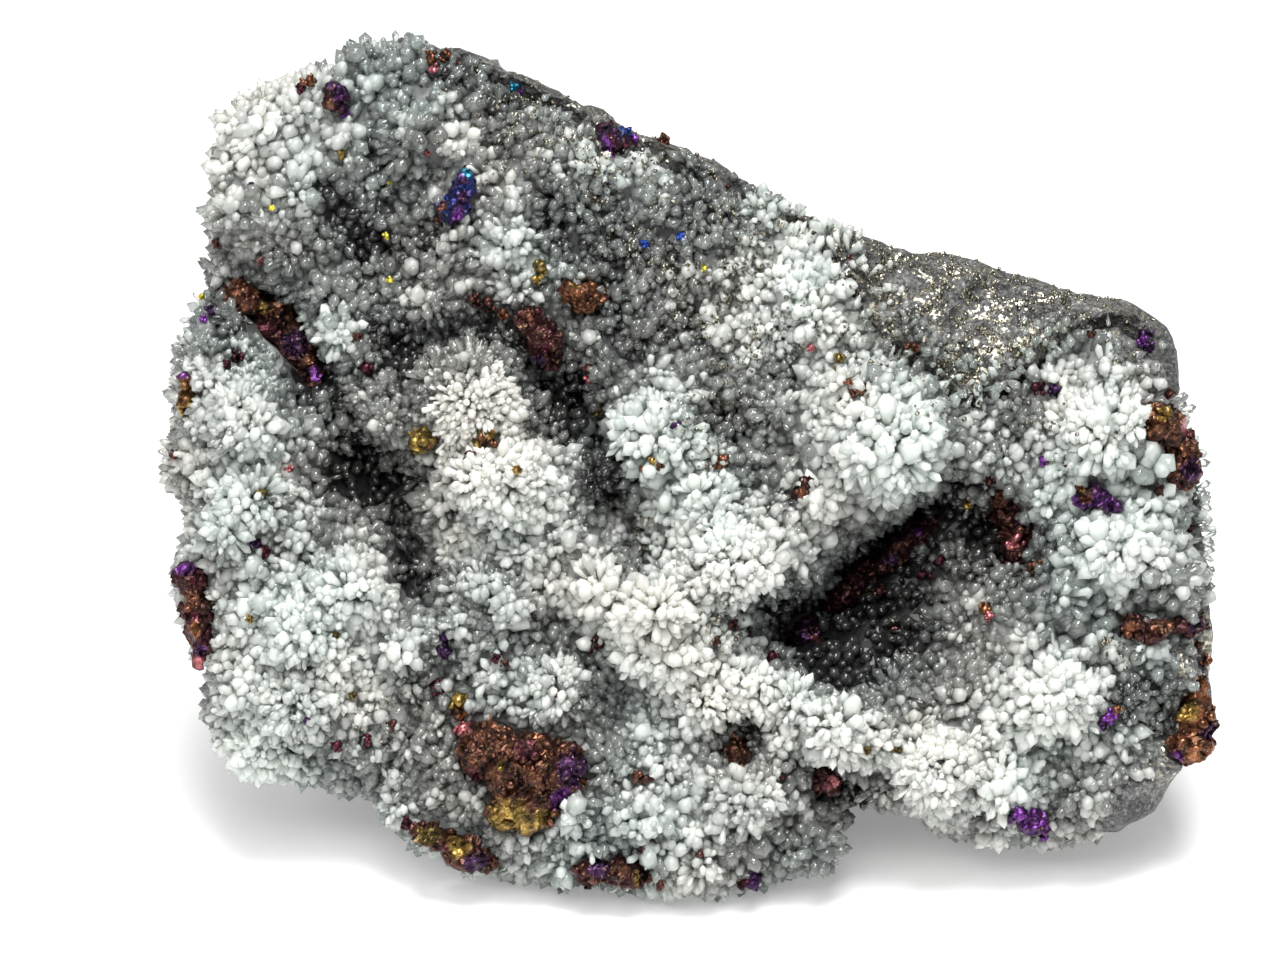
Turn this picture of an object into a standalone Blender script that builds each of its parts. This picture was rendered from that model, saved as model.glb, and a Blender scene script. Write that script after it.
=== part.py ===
"""Chalcopyrite on quartz: a leaning slab of grey matrix with a lumpy crust of quartz crystals and masses of
chalcopyrite seated in it.

Metres, Z up, the crystal face towards -Y. The shapes are worked out in the frame of the face in millimetres
(u to the right, v up along the face, w out of it) and turned into the upright frame at the end. Places on the
face are in steps of STEP_MM, x to the right and y down, as read off the photograph.
"""

import math
import random

import bmesh
import bpy
import numpy as np
from mathutils import Matrix, Vector
from mathutils.bvhtree import BVHTree

MM = 0.001
STEP_MM = 0.115
FACE_X = 700.0
FACE_Y = 480.0
LEAN_DEG = 25.0
FLOOR_Z = 44.9
SHIFT_X = 1.736
SHIFT_Y = -9.800

CELL_MM = 1.3
MASS_CELL_MM = 0.75
LOW_CORNER = (-66.0, -55.0, -60.0)
HIGH_CORNER = (65.0, 57.0, 17.0)

GAP_MM = 0.40
CLOSE_GAP_MM = 0.22
MASS_LIFT_MM = 1.0
FLOOR_GAP_MM = 0.6
CRUST_MM = 5.0
SIDE_CRUST_MM = 3.0
BARE_DROP_MM = 3.5
BREAK_INSET_MM = 1.8
THICK_LOW_MM = 50.0
THICK_TOP_MM = 31.0
EDGE_ROUND_MM = 7.0
TAPER_FROM_MM = 11.0
TAPER = 0.17

ROCK_TRIANGLES = 1450
CRUST_TRIANGLES = 2000
CRYSTAL_CRUST_TRIANGLES = 2650
MASS_TRIANGLES_PER_MM = 8.5
CRYSTALS = 72

COLLECTION = "chalcopyrite_on_quartz"
CUTTERS = "cutters"

# Outline of the whole specimen, clockwise from the top peak.
OUTLINE = [
    (395, 30), (425, 33), (470, 50), (530, 80), (590, 108), (640, 130), (690, 142), (735, 170), (770, 195),
    (800, 215), (830, 225), (900, 245), (1000, 265), (1040, 280), (1090, 292), (1130, 305), (1165, 330),
    (1178, 360), (1182, 400), (1190, 440), (1196, 480), (1202, 520), (1207, 570), (1209, 600), (1213, 640),
    (1215, 680), (1212, 720), (1205, 755), (1185, 775), (1165, 790), (1140, 810), (1110, 830), (1060, 838),
    (1010, 843), (980, 835), (940, 815), (900, 800), (860, 795), (828, 800), (822, 850), (790, 875),
    (750, 890), (700, 905), (660, 895), (600, 882), (560, 885), (490, 880), (450, 860), (420, 845),
    (385, 820), (370, 800), (350, 790), (300, 775), (240, 760), (213, 740), (213, 700), (200, 670),
    (190, 640), (178, 610), (177, 570), (188, 525), (190, 500), (172, 480), (176, 440), (170, 390),
    (178, 355), (190, 330), (200, 290), (210, 260), (213, 215), (209, 180), (225, 145), (238, 110),
    (245, 90), (290, 72), (340, 50), (370, 35),
]

# Where the matrix is bare: the rim along the top, the patch at the upper right and the right-hand side.
BARE = [
    (440, 30), (500, 50), (600, 95), (700, 130), (760, 170), (800, 200), (840, 215), (1000, 250),
    (1110, 285), (1180, 320), (1240, 360), (1240, 780), (1200, 775), (1195, 740), (1203, 690), (1200, 640),
    (1197, 600), (1196, 560), (1190, 520), (1186, 480), (1180, 440), (1174, 400), (1168, 365), (1155, 345),
    (1120, 325), (1110, 320), (1060, 345), (1030, 370), (1000, 400), (960, 410), (930, 380), (900, 360),
    (870, 340), (850, 300), (830, 270), (812, 240), (790, 222), (760, 200), (730, 182), (690, 155),
    (640, 142), (590, 120), (530, 92), (480, 68), (445, 48),
]

# The edge along the top and the right, behind which the rock is bare.
RIM = [
    (440, 40), (530, 80), (590, 108), (640, 130), (690, 142), (735, 170), (800, 215), (900, 245), (1000, 265),
    (1090, 292), (1165, 330), (1178, 360), (1190, 440), (1202, 520), (1209, 600), (1215, 680), (1210, 740),
]

# Broad swellings of the face: x, y, radius, height in millimetres.
SWELLINGS = [
    (470, 395, 70, 3.0), (500, 480, 70, 2.5), (490, 600, 60, 2.0), (660, 440, 70, 2.0), (735, 560, 75, 4.0),
    (660, 630, 60, 4.5), (740, 680, 60, 4.0), (830, 720, 60, 4.5), (930, 770, 55, 3.5), (1050, 690, 60, 3.5),
    (880, 430, 80, 5.0), (1110, 480, 110, 2.5), (1165, 580, 50, 1.5), (350, 590, 60, 2.5), (310, 640, 70, 2.0),
    (250, 470, 80, 1.5), (660, 820, 120, 3.5), (520, 800, 90, 2.0), (820, 300, 50, 2.0),
]

# Hollows of the face: x, y, radius, depth in millimetres, widest first.
HOLLOWS = [
    (700, 200, 120, 1.5), (980, 310, 90, 2.5), (370, 200, 110, 1.5), (940, 620, 50, 7.5), (1000, 530, 40, 6.5),
    (720, 415, 30, 4.0), (700, 330, 45, 2.0), (735, 738, 17, 8.0), (372, 245, 12, 3.0), (415, 580, 20, 6.0),
    (1060, 760, 30, 2.5), (590, 700, 30, 2.5),
]

# Grooves of the face: points, radius, depth in millimetres.
GROOVES = [
    ([(955, 505), (905, 535), (870, 572), (825, 615), (778, 652)], 38, 14.0),
    ([(240, 280), (290, 340), (330, 400), (400, 500), (415, 575)], 30, 8.5),
    ([(430, 350), (530, 365), (600, 440), (612, 480), (645, 550)], 27, 8.0),
    ([(560, 620), (610, 660), (640, 705)], 24, 4.5),
]

# Rosettes of crystals that stand out of the crust: x, y, radius.
ROSETTES = [
    (880, 430, 70), (470, 395, 58), (500, 480, 56), (490, 600, 52), (660, 440, 56), (705, 500, 46),
    (735, 560, 54), (660, 632, 50), (745, 682, 48), (832, 722, 50), (930, 770, 44), (1050, 690, 50),
    (1100, 430, 60), (1120, 545, 60), (1165, 580, 40), (350, 590, 50), (300, 625, 46), (250, 500, 50),
    (250, 425, 52), (378, 405, 42), (300, 700, 52), (250, 752, 32), (552, 692, 48), (595, 592, 34),
    (640, 800, 48), (742, 800, 50), (700, 868, 36), (1000, 782, 44), (1082, 790, 42), (820, 312, 34),
    (722, 330, 34), (512, 238, 40), (250, 132, 46), (750, 235, 22), (692, 242, 26), (235, 210, 34),
    (300, 190, 34), (430, 300, 34), (340, 330, 26), (560, 200, 30), (400, 110, 30), (640, 330, 34),
    (780, 400, 30), (600, 480, 26), (430, 500, 40), (820, 500, 34), (450, 690, 26), (610, 760, 34),
    (790, 850, 28), (460, 640, 28), (880, 790, 26), (1130, 700, 34), (1160, 470, 24), (960, 700, 34),
    (890, 690, 30), (1060, 600, 34), (610, 530, 26), (800, 250, 24), (1110, 380, 34),
]

# Masses of chalcopyrite. Each is a run of lumps: x, y, half width, half height, turn in degrees, lift in mm.
MASSES = {
    "chalcopyrite_lower_mass": [(490, 745, 34, 30, 20, 1.5), (530, 765, 46, 38, -10, 1.8),
                                (568, 762, 24, 30, 0, 1.0), (525, 803, 34, 20, 0, 1.0)],
    "chalcopyrite_lower_left": [(437, 828, 22, 14, -25, 0.8), (470, 848, 28, 16, -20, 0.8)],
    "chalcopyrite_bottom": [(592, 862, 20, 13, 0, 0.8), (625, 866, 28, 15, -5, 1.0)],
    "chalcopyrite_left_edge": [(196, 580, 17, 18, 0, 0.5), (202, 615, 18, 24, 0, 0.5), (204, 652, 9, 14, 0, 0.3)],
    "chalcopyrite_left_rim": [(192, 385, 11, 14, 0, 0.4), (194, 405, 11, 12, 0, 0.4)],
    "chalcopyrite_upper_left": [(240, 297, 24, 19, -25, 1.8), (268, 320, 26, 21, -40, 2.0),
                                (298, 350, 18, 32, 15, 2.0), (314, 376, 14, 25, 5, 2.0)],
    "chalcopyrite_blue_crystals": [(466, 186, 13, 10, 30, 1.6), (457, 212, 20, 15, 30, 1.8)],
    "chalcopyrite_top_left": [(340, 103, 15, 16, 0, 1.0)],
    "chalcopyrite_top_purple": [(612, 145, 17, 19, 30, 1.2)],
    "chalcopyrite_centre_dark": [(545, 342, 17, 32, 25, 2.6), (527, 322, 14, 12, 0, 2.0)],
    "chalcopyrite_centre_bronze": [(588, 300, 24, 16, 10, 1.5), (570, 293, 12, 10, 0, 1.0)],
    "chalcopyrite_gold_pair": [(491, 437, 13, 11, 20, 1.2)],
    "chalcopyrite_gold_left": [(428, 442, 16, 14, 30, 1.2)],
    "chalcopyrite_red_centre": [(800, 489, 14, 11, 0, 1.0)],
    "chalcopyrite_right_edge": [(1150, 428, 26, 24, -30, 1.4), (1172, 462, 18, 32, 10, 1.2)],
    "chalcopyrite_violet_right": [(1085, 496, 18, 11, 10, 1.2), (1105, 506, 14, 9, 20, 1.1)],
    "chalcopyrite_cavity_upper": [(925, 532, 22, 17, 30, 3.0), (902, 552, 20, 14, 40, 3.0),
                                  (875, 572, 20, 14, 30, 3.0), (845, 598, 22, 14, 30, 3.0)],
    "chalcopyrite_cavity_lower": [(808, 636, 26, 18, 25, 3.0), (776, 640, 14, 12, 0, 2.2)],
    "chalcopyrite_inner_right": [(1002, 505, 20, 28, 10, 2.2), (1016, 545, 18, 26, -10, 2.0)],
    "chalcopyrite_right_bar": [(1135, 624, 32, 12, 0, 1.5), (1180, 624, 22, 12, 0, 1.5)],
    "chalcopyrite_right_corner": [(1190, 712, 24, 22, 10, 1.0), (1180, 742, 24, 16, 0, 1.0)],
    "chalcopyrite_lower_bronze": [(736, 751, 13, 16, 0, 1.0)],
    "chalcopyrite_lower_pink": [(822, 774, 17, 16, 0, 1.0)],
    "chalcopyrite_lower_purple": [(1028, 818, 18, 11, -25, 0.9)],
}

# Broken faces of the back: direction (u, v, w) and distance from the middle of the slab in millimetres.
FRACTURES = [
    ((-0.55, 0.25, -0.80), 47.0), ((0.50, 0.35, -0.79), 46.0), ((-0.15, 0.62, -0.77), 46.0),
    ((0.72, -0.10, -0.69), 56.0), ((-0.78, -0.25, -0.58), 58.0), ((0.10, -0.20, -0.97), 42.5),
    ((0.30, 0.75, -0.59), 49.0), ((-0.35, -0.10, -0.93), 44.0),
]


def clear_scene():
    for obj in list(bpy.data.objects):
        bpy.data.objects.remove(obj, do_unlink=True)
    for group in list(bpy.data.collections):
        bpy.data.collections.remove(group)


def face_uv(x, y):
    return (x - FACE_X) * STEP_MM, (FACE_Y - y) * STEP_MM


def to_world(points):
    """Face coordinates in millimetres to upright coordinates in metres."""
    lean = math.radians(LEAN_DEG)
    points = np.asarray(points, float)
    u, v, w = points[:, 0], points[:, 1], points[:, 2]
    y = v * math.sin(lean) - w * math.cos(lean) + SHIFT_Y
    z = v * math.cos(lean) + w * math.sin(lean) + FLOOR_Z
    return np.stack([u + SHIFT_X, y, z], axis=1) * MM


def turn_to_world(direction):
    lean = math.radians(LEAN_DEG)
    u, v, w = direction
    return Vector((u, v * math.sin(lean) - w * math.cos(lean), v * math.cos(lean) + w * math.sin(lean)))


def smooth_min(a, b, reach):
    h = np.clip(0.5 + 0.5 * (b - a) / reach, 0.0, 1.0)
    return b * (1.0 - h) + a * h - reach * h * (1.0 - h)


def smooth_max(a, b, reach):
    return -smooth_min(-a, -b, reach)


def smooth_step(low, high, value):
    t = np.clip((value - low) / (high - low), 0.0, 1.0)
    return t * t * (3.0 - 2.0 * t)


def inside_distance(corners, u, v):
    """Distance to a closed outline, positive inside."""
    ends = [face_uv(x, y) for x, y in corners]
    best = np.full(u.shape, 1e9)
    inside = np.zeros(u.shape, bool)
    for (au, av), (bu, bv) in zip(ends, ends[1:] + ends[:1]):
        eu, ev = bu - au, bv - av
        t = np.clip(((u - au) * eu + (v - av) * ev) / (eu * eu + ev * ev), 0.0, 1.0)
        best = np.minimum(best, np.hypot(u - au - t * eu, v - av - t * ev))
        crosses = (av > v) != (bv > v)
        with np.errstate(divide="ignore", invalid="ignore"):
            side = u < au + (v - av) * eu / (bv - av if bv != av else 1e-9)
        inside ^= crosses & side
    return np.where(inside, best, -best)


def path_distance(points, u, v):
    ends = [face_uv(x, y) for x, y in points]
    best = np.full(u.shape, 1e9)
    for (au, av), (bu, bv) in zip(ends, ends[1:]):
        eu, ev = bu - au, bv - av
        t = np.clip(((u - au) * eu + (v - av) * ev) / (eu * eu + ev * ev), 0.0, 1.0)
        best = np.minimum(best, np.hypot(u - au - t * eu, v - av - t * ev))
    return best


def relief(u, v, spread=1.0):
    """Height of the middle of the crystal face, before the rosettes. A larger spread makes it smoother."""
    height = np.zeros(u.shape)
    for x, y, radius, rise in SWELLINGS:
        cu, cv = face_uv(x, y)
        reach = radius * STEP_MM * spread
        height += rise * np.exp(-((u - cu) ** 2 + (v - cv) ** 2) / (reach * reach))
    for x, y, radius, depth in HOLLOWS:
        cu, cv = face_uv(x, y)
        reach = radius * STEP_MM * spread
        height -= depth * np.exp(-((u - cu) ** 2 + (v - cv) ** 2) / (reach * reach))
    for points, radius, depth in GROOVES:
        reach = radius * STEP_MM * spread
        height -= depth * np.exp(-((path_distance(points, u, v) / reach) ** 2))
    return height


class Grid:
    """A box of sample points in face coordinates, with fields worked out on it."""

    def __init__(self, low, high, cell):
        self.low = np.array(low, float)
        self.cell = cell
        counts = [int(math.ceil((b - a) / cell)) + 1 for a, b in zip(low, high)]
        axes = [a + cell * np.arange(n) for a, n in zip(low, counts)]
        self.u, self.v, self.w = np.meshgrid(*axes, indexing="ij", sparse=True)
        self.u2, self.v2 = np.meshgrid(axes[0], axes[1], indexing="ij")
        self.axes = axes
        self.shape = tuple(counts)

    def noise(self, cell, seed):
        """Smooth random values from -1 to 1, even over about the given number of millimetres."""
        rng = np.random.default_rng(seed)
        coarse = rng.uniform(-1.0, 1.0, [int((a[-1] - a[0]) / cell) + 3 for a in self.axes])
        for axis, values in enumerate(self.axes):
            place = (values - values[0]) / cell
            first = place.astype(int)
            t = place - first
            t = t * t * (3.0 - 2.0 * t)
            low = np.take(coarse, first, axis=axis)
            high = np.take(coarse, first + 1, axis=axis)
            shape = [1, 1, 1]
            shape[axis] = len(values)
            coarse = low + (high - low) * t.reshape(shape)
        return coarse


CORNERS = np.array([(0, 0, 0), (1, 0, 0), (1, 1, 0), (0, 1, 0), (0, 0, 1), (1, 0, 1), (1, 1, 1), (0, 1, 1)])
WEDGES = ((0, 5, 1, 6), (0, 1, 2, 6), (0, 2, 3, 6), (0, 3, 7, 6), (0, 7, 4, 6), (0, 4, 5, 6))


def surface_of(grid, field):
    """Closed triangles round the part of the grid where the field is positive, in face coordinates."""
    field = np.where(np.abs(field) < 1e-4, 1e-4, field).astype(float)
    for axis in range(3):
        edge = [slice(None)] * 3
        for place in (0, -1):
            edge[axis] = place
            field[tuple(edge)] = np.minimum(field[tuple(edge)], -0.5)
    nu, nv, nw = field.shape
    signs = field > 0
    count = np.zeros((nu - 1, nv - 1, nw - 1), int)
    for cu, cv, cw in CORNERS:
        count += signs[cu:nu - 1 + cu, cv:nv - 1 + cv, cw:nw - 1 + cw]
    cells = np.argwhere((count > 0) & (count < 8))
    points = (cells[:, None, :] + CORNERS[None, :, :]).reshape(-1, 3)
    ids = np.ravel_multi_index(points.T, field.shape).reshape(-1, 8)
    flat = field.ravel()
    sides, tips = [], []
    for wedge in WEDGES:
        corner = ids[:, wedge]
        inner = flat[corner] > 0
        total = inner.sum(axis=1)
        order = np.argsort(~inner, axis=1, kind="stable")
        ranked = np.take_along_axis(corner, order, axis=1)
        for much, pairs in (
            (1, [((0, 1), (0, 2), (0, 3))]),
            (3, [((0, 3), (1, 3), (2, 3))]),
            (2, [((0, 2), (0, 3), (1, 3)), ((0, 2), (1, 3), (1, 2))]),
        ):
            some = ranked[total == much]
            for triple in pairs:
                sides.append(np.stack([some[:, list(pair)] for pair in triple], axis=1))
                ins = some[:, :much]
                outs = some[:, much:]
                tips.append(np.stack([ins[:, 0], outs[:, -1]], axis=1))
    sides = np.concatenate(sides)
    tips = np.concatenate(tips)
    keys = np.sort(sides.reshape(-1, 2), axis=1)
    unique, index = np.unique(keys[:, 0] * field.size + keys[:, 1], return_inverse=True)
    first, second = unique // field.size, unique % field.size
    a, b = flat[first], flat[second]
    t = np.clip(a / (a - b), 0.08, 0.92)[:, None]
    place = lambda which: np.stack(np.unravel_index(which, field.shape), axis=1) * grid.cell + grid.low
    vertices = place(first) * (1.0 - t) + place(second) * t
    faces = index.reshape(-1, 3)
    normal = np.cross(vertices[faces[:, 1]] - vertices[faces[:, 0]], vertices[faces[:, 2]] - vertices[faces[:, 0]])
    outward = place(tips[:, 1]) - place(tips[:, 0])
    flip = (normal * outward).sum(axis=1) < 0
    faces[flip] = faces[flip][:, ::-1]
    return vertices, faces


def mesh_object(name, vertices, faces, collection):
    mesh = bpy.data.meshes.new(name)
    mesh.from_pydata([tuple(p) for p in vertices], [], [tuple(int(i) for i in f) for f in faces])
    mesh.update()
    obj = bpy.data.objects.new(name, mesh)
    collection.objects.link(obj)
    return obj


def settle(obj):
    """Makes the mesh what its modifiers give."""
    bpy.context.view_layer.update()
    graph = bpy.context.evaluated_depsgraph_get()
    mesh = bpy.data.meshes.new_from_object(obj.evaluated_get(graph))
    old = obj.data
    obj.modifiers.clear()
    obj.data = mesh
    bpy.data.meshes.remove(old)


def reduce_to(obj, triangles):
    now = len(obj.data.polygons)
    if now > triangles:
        modifier = obj.modifiers.new("reduce", "DECIMATE")
        modifier.ratio = triangles / now
        modifier.use_collapse_triangulate = True
        settle(obj)


def combine(obj, other, operation, own=False):
    modifier = obj.modifiers.new(operation.lower(), "BOOLEAN")
    modifier.operation = operation
    modifier.solver = "EXACT"
    modifier.use_self = own
    modifier.object = other
    settle(obj)


def largest_only(obj):
    """Drops crumbs that a cut leaves loose and merges points that lie together."""
    body = bmesh.new()
    body.from_mesh(obj.data)
    bmesh.ops.dissolve_degenerate(body, edges=body.edges, dist=0.0005 * MM)
    bmesh.ops.triangulate(body, faces=body.faces)
    left = set(body.verts)
    groups = []
    while left:
        stack = [left.pop()]
        group = list(stack)
        while stack:
            for edge in stack.pop().link_edges:
                for vert in edge.verts:
                    if vert in left:
                        left.remove(vert)
                        stack.append(vert)
                        group.append(vert)
        groups.append(group)
    groups.sort(key=len, reverse=True)
    for group in groups[1:]:
        bmesh.ops.delete(body, geom=group, context="VERTS")
    body.to_mesh(obj.data)
    body.free()


def grown_copy(obj, name, amount, collection):
    body = bmesh.new()
    body.from_mesh(obj.data)
    body.normal_update()
    moves = [vert.normal * min(vert.calc_shell_factor(), 1.5) * amount * MM for vert in body.verts]
    for vert, move in zip(body.verts, moves):
        vert.co += move
    mesh = bpy.data.meshes.new(name)
    body.to_mesh(mesh)
    body.free()
    copy = bpy.data.objects.new(name, mesh)
    collection.objects.link(copy)
    copy.hide_render = True
    copy.display_type = "WIRE"
    return copy


def touches(obj, other):
    bpy.context.view_layer.update()
    graph = bpy.context.evaluated_depsgraph_get()
    return bool(BVHTree.FromObject(obj, graph).overlap(BVHTree.FromObject(other, graph)))


def hexagonal_crystal(root, direction, width, length, turn):
    """A six-sided column with a pointed end: twelve side points and a tip, in world coordinates."""
    direction = direction.normalized()
    side = direction.orthogonal().normalized()
    side.rotate(Matrix.Rotation(turn, 3, direction).to_quaternion())
    across = direction.cross(side)
    ring = [math.cos(k * math.pi / 3) * side + math.sin(k * math.pi / 3) * across for k in range(6)]
    shoulder = length - 0.62 * width
    points = [root + width * 0.5 * r for r in ring]
    points += [root + shoulder * direction + width * 0.46 * r for r in ring]
    points.append(root + length * direction)
    faces = [[5, 4, 3, 2, 1, 0]]
    faces += [[k, (k + 1) % 6, 6 + (k + 1) % 6, 6 + k] for k in range(6)]
    faces += [[6 + k, 6 + (k + 1) % 6, 12] for k in range(6)]
    return points, faces


def material(name, colour, roughness, metallic=0.0, transmission=0.0):
    made = bpy.data.materials.new(name)
    made.use_nodes = True
    shader = made.node_tree.nodes["Principled BSDF"]
    shader.inputs["Base Color"].default_value = (*colour, 1.0)
    shader.inputs["Roughness"].default_value = roughness
    shader.inputs["Metallic"].default_value = metallic
    shader.inputs["Transmission Weight"].default_value = transmission
    made.diffuse_color = (*colour, 1.0)
    return made


def main():
    clear_scene()
    collection = bpy.data.collections.new(COLLECTION)
    bpy.context.scene.collection.children.link(collection)
    cutters = bpy.data.collections.new(CUTTERS)
    cutters.hide_render = True
    bpy.context.scene.collection.children.link(cutters)

    grid = Grid(LOW_CORNER, HIGH_CORNER, CELL_MM)
    rim = inside_distance(OUTLINE, grid.u2, grid.v2)[:, :, None]
    bare = smooth_step(-0.7, 0.7, inside_distance(BARE, grid.u2, grid.v2))[:, :, None]
    front = relief(grid.u2, grid.v2)[:, :, None]
    depth = np.maximum(0.0, -grid.w - TAPER_FROM_MM)
    slope = np.clip((50.0 - grid.v2) / 100.0, 0.0, 1.0)[:, :, None]
    back = -(THICK_TOP_MM + (THICK_LOW_MM - THICK_TOP_MM) * slope)
    rough = 1.1 * grid.noise(9.0, 3) + 0.6 * grid.noise(4.0, 4)
    fracture = np.full(grid.shape, 1e9)
    for direction, distance in FRACTURES:
        n = np.array(direction) / np.linalg.norm(direction)
        fracture = np.minimum(fracture, distance - (n[0] * grid.u + n[1] * grid.v + n[2] * grid.w))

    def slab(edge_inset, top, break_inset=0.0):
        shape = smooth_min(rim - edge_inset - TAPER * depth, top - grid.w, EDGE_ROUND_MM)
        shape = smooth_min(shape, grid.w - back, 9.0)
        return np.minimum(shape, fracture - break_inset)

    envelope = slab(0.0, front)
    near_rim = smooth_step(-9.0, -5.0, -path_distance(RIM, grid.u2, grid.v2))[:, :, None]
    side_bare = np.maximum(bare, near_rim * smooth_step(-3.0, -8.0, grid.w))
    under = relief(grid.u2, grid.v2, 1.6)[:, :, None] - CRUST_MM
    rock = slab(SIDE_CRUST_MM * (1.0 - side_bare), front * bare + under * (1.0 - bare) - 0.3)
    rock = rock + 0.5 * rough * np.maximum(side_bare, smooth_step(17.0, 24.0, front - grid.w))
    crust = slab(BARE_DROP_MM * bare, front - BARE_DROP_MM * bare, BREAK_INSET_MM)

    # The height of the surface over each place on the face.
    up = np.where(envelope > 0, grid.w, -99.0).max(axis=2)
    height_at = lambda u, v: float(up[
        min(max(int(round((u - LOW_CORNER[0]) / CELL_MM)), 0), grid.shape[0] - 1),
        min(max(int(round((v - LOW_CORNER[1]) / CELL_MM)), 0), grid.shape[1] - 1)])

    def add_ball(field, cu, cv, cw, radius, reach):
        distance = np.sqrt((grid.u - cu) ** 2 + (grid.v - cv) ** 2 + (grid.w - cw) ** 2)
        return smooth_max(field, radius - distance, reach)

    balls = []
    for x, y, radius in ROSETTES:
        u, v = face_uv(x, y)
        radius *= STEP_MM
        balls.append((u, v, height_at(u, v) - 0.14 * radius, 0.86 * radius))
    spots, _ = surface_of(grid, envelope)
    chooser = np.random.default_rng(21)
    chosen = []
    outline_distance = inside_distance(OUTLINE, spots[:, 0], spots[:, 1])
    bare_distance = inside_distance(BARE, spots[:, 0], spots[:, 1])
    for index in chooser.permutation(len(spots)):
        p = spots[index]
        if bare_distance[index] > -2.0 or p[2] < (-6.0 if p[1] > 30 else -13.0):
            continue
        if any(math.dist(p, ball[:3]) < 1.15 * ball[3] for ball in balls):
            continue
        if min([math.dist(p, q) for q in chosen] or [99]) > 5.8:
            chosen.append(p)
    middle = np.array([0.0, 0.0, -22.0])
    for p in chosen:
        radius = chooser.uniform(1.9, 3.3)
        inward = middle - p
        inward[2] = min(inward[2], -8.0)
        inward /= np.linalg.norm(inward)
        p = p + inward * 0.35 * radius
        balls.append((p[0], p[1], p[2], radius))
    for u, v, w, radius in balls:
        crust = add_ball(crust, u, v, w, radius, 1.3)
    limit = -13.5 + 3.0 * grid.noise(12.0, 8) + 6.5 * smooth_step(22.0, 36.0, grid.v2)[:, :, None]
    limit = limit * (1.0 - near_rim) + (-3.6 + 1.2 * grid.noise(5.0, 9)) * near_rim
    crust = np.minimum(crust + 0.35 * rough, grid.w - limit)
    z = grid.v * math.cos(math.radians(LEAN_DEG)) + grid.w * math.sin(math.radians(LEAN_DEG)) + FLOOR_Z
    crust = np.minimum(crust, z - FLOOR_GAP_MM)
    rock_body = mesh_object("matrix_rock", *to_mesh(surface_of(grid, rock)), collection)
    reduce_to(rock_body, ROCK_TRIANGLES)
    druse = mesh_object("quartz_druse", *to_mesh(surface_of(grid, crust)), collection)
    reduce_to(druse, CRUST_TRIANGLES)

    floor = box_cutter("floor_cut", (-0.2, -0.2, -0.1), (0.2, 0.2, 0.0), cutters)
    combine(rock_body, floor, "DIFFERENCE")
    largest_only(rock_body)
    grown_rock = grown_copy(rock_body, "rock_clearance", GAP_MM, cutters)

    add_crystals(druse, cutters)
    combine(druse, grown_rock, "DIFFERENCE", own=True)
    combine(druse, grown_copy(rock_body, "rock_close", CLOSE_GAP_MM, cutters), "DIFFERENCE", own=True)
    largest_only(druse)
    make_masses(collection, cutters, rock_body, druse, height_at)
    largest_only(rock_body)
    largest_only(druse)

    rock_body.data.materials.clear()
    rock_body.data.materials.append(material("grey_matrix", (0.20, 0.20, 0.195), 0.85))
    druse.data.materials.clear()
    druse.data.materials.append(material("quartz", (0.80, 0.84, 0.84), 0.22, transmission=0.25))
    for obj in collection.objects:
        print(obj.name, len(obj.data.polygons))
    print("total", sum(len(obj.data.polygons) for obj in collection.objects))


def to_mesh(surface):
    vertices, faces = surface
    return to_world(vertices), faces


def box_cutter(name, low, high, cutters):
    corners = [(x, y, z) for x in (low[0], high[0]) for y in (low[1], high[1]) for z in (low[2], high[2])]
    faces = [(0, 1, 3, 2), (4, 6, 7, 5), (0, 4, 5, 1), (2, 3, 7, 6), (0, 2, 6, 4), (1, 5, 7, 3)]
    box = mesh_object(name, corners, faces, cutters)
    box.hide_render = True
    box.display_type = "WIRE"
    return box


def add_crystals(druse, cutters):
    """Hexagonal crystals with flat faces, fused to the crust: a few to each rosette."""
    tree = BVHTree.FromObject(druse, bpy.context.evaluated_depsgraph_get())
    outward = turn_to_world((0.0, 0.0, 1.0))
    points, faces = [], []
    chooser = random.Random(5)
    for number in range(CRYSTALS):
        x, y, radius = ROSETTES[number % len(ROSETTES)]
        angle = chooser.uniform(0, 2 * math.pi)
        away = chooser.uniform(0.2, 0.85) * radius
        u, v = face_uv(x + away * math.cos(angle), y + away * math.sin(angle))
        start = Vector(to_world([(u, v, 60.0)])[0])
        spot, normal, _, _ = tree.ray_cast(start, -outward)
        if spot is None:
            continue
        tilt = turn_to_world((math.cos(angle) * away / radius, -math.sin(angle) * away / radius, 0.9))
        direction = (normal * 0.5 + tilt * 0.9).normalized()
        width = chooser.uniform(2.1, 3.3) * MM
        length = width * chooser.uniform(1.9, 2.5)
        root = spot - direction * length * 0.48
        more, sides = hexagonal_crystal(root, direction, width, length, chooser.uniform(0, 1))
        faces += [[i + len(points) for i in side] for side in sides]
        points += more
    crystals = mesh_object("crystals", points, faces, cutters)
    crystals.hide_render = True
    crystals.display_type = "WIRE"
    combine(druse, crystals, "UNION", own=True)
    largest_only(druse)
    reduce_to(druse, CRYSTAL_CRUST_TRIANGLES)


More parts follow.
